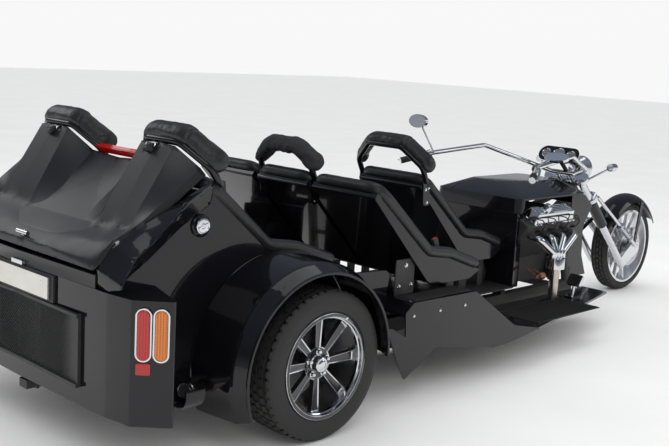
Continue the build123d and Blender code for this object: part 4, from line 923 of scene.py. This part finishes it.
# Valve cover fins, plug leads and cooler coils
coil_steps, coil_radius = 60, 0.019
fins, leads, boots, coils = (bmesh.new() for _ in range(4))
for side in (1, -1):
    upward = cover_axes(side)[1]
    top = local_frame(spot(cover_x, side * cover_y, cover_z) + upward * 0.066, (1, 0, 0), upward)
    for number in range(5):
        local_block(fins, top, (0.075, (number - 2) * 0.0145, 0.003), (0.2, 0.0055, 0.008))
    local_block(fins, top, (-0.155, 0, 0.003), (0.05, 0.062, 0.006))
    for number, port_x in enumerate((2.3, 2.43, 2.56, 2.69)):
        lead = [
            (port_x + 0.05, 0.352, 0.64), (port_x + 0.05, 0.4, 0.652), (port_x + 0.045, 0.428, 0.69),
            (port_x + 0.01, 0.432, 0.727), (port_x - 0.04, 0.418, 0.738),
            (2.245, 0.41 - 0.008 * number, 0.735 + 0.004 * number), (2.232, 0.35, 0.72),
        ]
        places = [spot(x, side * y, z) for x, y, z in lead]
        line = rounded_path(places, (0.02, 0.03, 0.03, 0.03, 0.02), 0.008)
        sweep(leads, line, bar(0.0038), 8, (1, 0, 0.1))
        disc(boots, places[0], (0, side, 0.25), 0.0085, 0.042, 16, 0.0062)
    line = [spot(2.28, side * 0.36, 0.42)]
    for step in range(coil_steps + 1):
        angle = step * pi / 6
        across, high = coil_radius * cos(angle), coil_radius * sin(angle)
        line.append(spot(2.285 + 0.05 * step / coil_steps, side * 0.45 + across, 0.383 + high))
    line.append(spot(2.345, side * 0.36, 0.42))
    sweep(coils, line, bar(0.0036), 8, (1, 0, 0.2))
finish_piece("valve_cover_fins", fins, chassis, chrome, 30, 0.0015)
finish_piece("plug_leads", leads, chassis, rubber, 50)
finish_piece("plug_boots", boots, chassis, rubber, 35)
finish_piece("cooler_coils", coils, chassis, copper, 50)

# Belt buckles and their red buttons beside the outer seats of the middle row
buckles, buttons = bmesh.new(), bmesh.new()
for side in (1, -1):
    place = local_frame(spot(1.045, side * 0.622, 0.735), (0.35, 0, -0.94), (0, side, 0))
    local_block(buckles, place, (0, 0, 0), (0.062, 0.034, 0.02))
    local_block(buckles, place, (0.055, 0, 0), (0.06, 0.022, 0.007))
    local_block(buttons, place, (-0.0305, 0, 0), (0.004, 0.026, 0.014))
finish_piece("belt_buckles", buckles, chassis, black_plastic, 35, 0.003)
finish_piece("belt_buttons", buttons, chassis, lead_red, 35, 0.0008)

# Exhaust tips, with a dark disc across each pipe's mouth as painted shade for the inside of the pipe
tip_ring = [
    (-0.02, 0.0285), (0.004, 0.0325), (0.009, 0.032), (0.0105, 0.029), (0.009, 0.026), (-0.01, 0.0245),
    (-0.02, 0.0245),
]
tips, mouth_shade = bmesh.new(), bmesh.new()
for side in (1, -1):
    tip = spot(-0.652, side * 0.772, 0.324)
    outward = Vector((-0.092, side * 0.032, 0.014)).normalized()
    spin_about(tips, tip_ring, tip, outward, 40, True)
    # painted shade: a thin dark disc closes the mouth where the inside of the pipe would lie in shade
    disc(mouth_shade, tip, outward, 0.0255, 0.0012, 32)
finish_piece("exhaust_tips", tips, chassis, chrome, 40)
# the dark discs in the pipe mouths are painted shade for the insides of the pipes
finish_piece("exhaust_soot", mouth_shade, chassis, rubber, 40)

# Fuel cap: a knurled chrome knob in a black ring, both spun about an axis that points to the right
cap_centre, cap_axis = spot(-0.5, -0.64, 0.96), (0, -1, 0)
cap_ring = [
    (0, 0.048), (0.006, 0.048), (0.0105, 0.0455), (0.012, 0.042), (0.009, 0.0375), (0.003, 0.036), (0, 0.036),
]
cap_knob = [
    (0.002, 0.0345), (0.019, 0.0345), (0.0215, 0.033), (0.0225, 0.029), (0.0205, 0.0265), (0.021, 0.012),
    (0.0235, 0.009), (0.024, 0),
]
knob_steps, knurl_from, knurl_depth = 60, 0.0338, 0.0014
shape = bmesh.new()
spin_about(shape, cap_ring, cap_centre, cap_axis, 64, True)
finish_piece("fuel_cap_ring", shape, chassis, gloss_black, 40, stands_for=("fuel_cap",))
shape = bmesh.new()
spin_about(shape, cap_knob, cap_centre, cap_axis, knob_steps)
knurls = []
for face in shape.faces:
    away = face.calc_center_median() - cap_centre
    step = int((atan2(away.z, away.x) + pi) / (2 * pi) * knob_steps)
    if sqrt(away.x ** 2 + away.z ** 2) > knurl_from and step % 2:
        knurls.append(face)
for face in bmesh.ops.extrude_discrete_faces(shape, faces=knurls)["faces"]:
    away = face.calc_center_median() - cap_centre
    bmesh.ops.translate(shape, verts=face.verts, vec=-Vector((away.x, 0, away.z)).normalized() * knurl_depth)
bridge = local_frame(cap_centre + Vector((0, -0.022, 0)), (1, 0, 0.35), cap_axis)
local_block(shape, bridge, (0, 0, 0), (0.05, 0.008, 0.006))
finish_piece("fuel_cap_knob", shape, chassis, chrome, 35, 0.0006)

# Ribbed rubber mats on the foot boards and step boxes
mats = bmesh.new()
for side in (1, -1):
    block(mats, spot(2.2, side * 0.6, 0.2155), (0.66, 0.3, 0.003))
    for number in range(30):
        block(mats, spot(1.885 + number * 0.0217, side * 0.6, 0.219), (0.009, 0.286, 0.005))
    block(mats, spot(0.945, side * 0.725, 0.506), (0.44, 0.12, 0.003))
    for number in range(7):
        block(mats, spot(0.945, side * (0.68 + number * 0.015), 0.509), (0.42, 0.007, 0.004))
finish_piece("ribbed_mats", mats, chassis, rubber, 35)

# Grips and levers
grip_radius, ring_height, ring_rate = 0.0207, 0.0009, 1100


def grip_outline(travelled, _, angle):
    """A rubber grip with fine rings."""
    radius = grip_radius + ring_height * sin(travelled * ring_rate)
    return radius * cos(angle), radius * sin(angle)


lever_points = [
    (2.2, 0.43, 1.06), (2.172, 0.468, 1.05), (2.12, 0.5, 1.032), (2.06, 0.53, 1.008), (2.035, 0.545, 1.0),
]
grips, ends, levers = (bmesh.new() for _ in range(3))
for side in (1, -1):
    first, last = spot(2.0948, side * 0.479, 1.0193), spot(2.03, side * 0.515, 1.0)
    sweep(grips, rounded_path([first, last], (), 0.0022), grip_outline, 20, (0, 0, 1))
    outward = (last - first).normalized()
    disc(ends, last - outward * 0.001, outward, 0.0215, 0.004, 28, 0.019)
    disc(levers, spot(2.2, side * 0.42, 1.052) - outward * 0.012, outward, 0.0245, 0.026, 24)
    line = rounded_path([spot(x, side * y, z) for x, y, z in lever_points], (0.02, 0.05, 0.05), 0.006)
    sweep(levers, line, bar(0.0075, 0.004, 0.008), 14, (0, 0, 1))
finish_piece("hand_grips", grips, steering, rubber, 50)
finish_piece("grip_ends", ends, steering, chrome, 35)
finish_piece("hand_levers", levers, steering, chrome, 40)

# Three dials, each with a ring, marks, a needle and a pane
faces, rings, marks, needles, panes = (bmesh.new() for _ in range(5))
pod_x, pod_z, pod_normal = 3.0853, 1.0646, Vector((-0.8192, 0, 0.5736))
ring_width, mark_inset = 0.0055, 0.0085
for y, radius, reading in ((0, 0.046, 40), (0.098, 0.034, 150), (-0.098, 0.034, 100)):
    centre = spot(pod_x, y, pod_z)
    dial = local_frame(centre, (0, -1, 0), pod_normal)
    ring = [
        (-0.004, radius), (0.005, radius), (0.0075, radius - 0.0025), (0.005, radius - ring_width),
        (-0.004, radius - ring_width),
    ]
    spin_about(rings, ring, centre, pod_normal, 44, True)
    disc(faces, centre - pod_normal * 0.001, pod_normal, radius - 0.005, 0.002, 44)
    disc(panes, centre + pod_normal * 0.0036, pod_normal, radius - 0.0052, 0.0008, 44)
    for number in range(13):
        long = 0.006 if number % 3 == 0 else 0.0035
        tick = dial @ Matrix.Rotation(radians(-45 + 22.5 * number), 4, "Z")
        local_block(marks, tick, (radius - mark_inset - long / 2, 0, 0.0012), (long, 0.0011, 0.0006))
    needle = dial @ Matrix.Rotation(radians(reading), 4, "Z")
    local_block(needles, needle, (radius * 0.32, 0, 0.002), (radius * 0.75, 0.0013, 0.0008))
    disc(needles, centre + pod_normal * 0.0012, pod_normal, 0.0035, 0.0016, 16)
for name, shape, material in (
    ("dial_faces", faces, dial_face), ("dial_rings", rings, chrome), ("dial_marks", marks, rubber),
    ("dial_needles", needles, lead_red), ("dial_panes", panes, clear_lens),
):
    finish_piece(name, shape, steering, material, 35)

# Mirror panes, headlamp and signals
glass = bmesh.new()
for centre, normal, wide, tall in (
    ((2.12, 0.47, 1.262), (-1, 0, 0.1), 0.068, 0.038), ((2.285, -0.5, 1.13), (-0.6, 0, 0.8), 0.078, 0.034),
):
    normal = Vector(normal).normalized()
    place = local_frame(spot(*centre) + normal * 0.0006, (0, 1, 0), normal)
    bmesh.ops.create_cone(
        glass, cap_ends=True, segments=44, radius1=1, radius2=1, depth=0.0014,
        matrix=place @ Matrix.Diagonal((wide, tall, 1, 1)),
    )
finish_piece("mirror_panes", glass, steering, mirror_glass, 35)
lamp_centre = spot(3.3935, 0, 0.9546)
reflector = [(0.0005, 0.076), (0.0008, 0.05), (0.0009, 0.0)]
lamp_glass = [(0.001, 0.078), (0.006, 0.073), (0.011, 0.055), (0.0145, 0.03), (0.0155, 0.0)]
signal_glass = [(-0.001, 0.0235), (0.004, 0.0225), (0.0075, 0.016), (0.0085, 0.0)]
bulb, lamp, signals = (bmesh.new() for _ in range(3))
spin_about(bulb, reflector, lamp_centre, (1, 0, 0), 40)
spin_about(lamp, lamp_glass, lamp_centre, (1, 0, 0), 40)
for side in (1, -1):
    spin_about(signals, signal_glass, spot(3.343, side * 0.29, 0.9951), (1, 0, 0), 28)
finish_piece("headlamp_reflector", bulb, steering, mirror_glass, 40)
finish_piece("headlamp_glass", lamp, steering, clear_lens, 40)
finish_piece("front_signal_lenses", signals, steering, amber_lens, 40)

# Springs round the fork's struts
spring_turns, turn_steps, spring_start, spring_length, spring_radius = 9, 14, 0.12, 0.17, 0.021
spring_steps = spring_turns * turn_steps
springs = bmesh.new()
for side in (1, -1):
    low, high = spot(4.02, side * 0.143, 0.356), spot(3.4397, side * 0.125, 0.758)
    along = (high - low).normalized()
    flat = along.cross(Vector((0, 1, 0))).normalized()
    other = along.cross(flat)
    base = low + along * spring_start
    coil = []
    for step in range(spring_steps + 1):
        angle = 2 * pi * step / turn_steps
        centre = base + along * (spring_length * step / spring_steps)
        coil.append(centre + (flat * cos(angle) + other * sin(angle)) * spring_radius)
    sweep(springs, coil, bar(0.0035), 8, along)
    for travelled in (spring_start - 0.008, spring_start + spring_length + 0.002):
        disc(springs, low + along * travelled, along, 0.027, 0.008, 28)
finish_piece("fork_springs", springs, steering, chrome, 50)


# Lid and tail shoulders with soft creases
def soften(node, material, edge_length, keep_angle, rounds):
    """Cut long faces finer and relax them, so that panel creases turn soft while rims stay crisp."""
    shape = merged_copy(node, dissolve=False)
    bmesh.ops.triangulate(shape, faces=shape.faces)
    for _ in range(7):
        long_edges = [edge for edge in shape.edges if edge.calc_length() > edge_length]
        if not long_edges:
            break
        bmesh.ops.subdivide_edges(shape, edges=long_edges, cuts=1)
        bmesh.ops.triangulate(shape, faces=[face for face in shape.faces if len(face.verts) > 3])
    shape.normal_update()
    crisp = {
        vert for edge in shape.edges if not edge.is_manifold or edge.calc_face_angle(0) > radians(keep_angle)
        for vert in edge.verts
    }
    loose = [vert for vert in shape.verts if vert not in crisp]
    for _ in range(rounds):
        bmesh.ops.smooth_vert(
            shape, verts=loose, factor=0.5, use_axis_x=True, use_axis_y=True, use_axis_z=True,
        )
    finish_piece(node + "_made", shape, node_body[node], material, 50, stands_for=(node,))


soften("boot_lid", satin_black, 0.026, 62, 10)
soften("tail_shoulders", gloss_black, 0.026, 50, 6)

for material, bevel, sharp, names in look_table:
    for name in names.split():
        stand_in(name, material, bevel, sharp)

# Pale floor, world and soft lamps
floor_half, pale, paler = 40, (0.9, 0.9, 0.9), (0.94, 0.94, 0.94)
shape = bmesh.new()
bmesh.ops.create_grid(shape, x_segments=1, y_segments=1, size=floor_half)
floor = add_object("floor", shape)
floor_material, floor_tree, floor_shader = blank_material("pale floor", pale, 0.0)
floor_shader.inputs["Roughness"].default_value = 0.7
floor_noise = texture(floor_tree, "ShaderNodeTexNoise", scale=1.5, detail=5.0)
floor_patches = spread(floor_tree, floor_noise.outputs["Fac"], 0, 1)
mixed_colour(floor_tree, floor_shader.inputs["Base Color"], floor_patches, pale, paler)
floor.data.materials.append(floor_material)

# Glossy rays meet a sky that is pale low down, dark above it and blue overhead. All others meet white.
world = bpy.data.worlds.new("studio")
scene.world = world
world.use_nodes = True
world_tree = world.node_tree
background = world_tree.nodes["Background"]
background.inputs["Strength"].default_value = 1.0
direction = add_node(world_tree, "ShaderNodeTexCoord").outputs["Generated"]
parts = add_node(world_tree, "ShaderNodeSeparateXYZ")
world_tree.links.new(direction, parts.inputs["Vector"])
sky = add_node(world_tree, "ShaderNodeValToRGB")
sky.color_ramp.elements[1].position = 0.8
sky.color_ramp.elements.new(0.2)
for stop, colour in zip(sky.color_ramp.elements, ((0.42, 0.43, 0.45), (0.09, 0.1, 0.12), (0.2, 0.23, 0.29))):
    stop.color = (*colour, 1)
world_tree.links.new(parts.outputs["Z"], sky.inputs["Fac"])
glossy = add_node(world_tree, "ShaderNodeLightPath").outputs["Is Glossy Ray"]
mixed_colour(world_tree, background.inputs["Color"], glossy, paler, sky.outputs["Color"])

lamp_table = [
    # name, place, size across and up, watts
    ("key", (-5.5, -5.0, 5.5), 4.0, 3.0, 75),
    ("front", (5.5, -4.5, 4.0), 3.5, 2.5, 50),
    ("back", (-3.0, 6.0, 4.5), 4.0, 2.0, 50),
    ("top", (0.0, 0.0, 6.5), 6.0, 2.0, 40),
]
aim = Vector((0, 0, 0.5))
for name, place, wide, tall, watts in lamp_table:
    data = bpy.data.lights.new(name, "AREA")
    data.shape = "RECTANGLE"
    data.size = wide
    data.size_y = tall
    data.energy = watts
    light = bpy.data.objects.new(name, data)
    light.location = place
    light.rotation_euler = (aim - Vector(place)).to_track_quat("-Z", "Y").to_euler()
    scene.collection.objects.link(light)
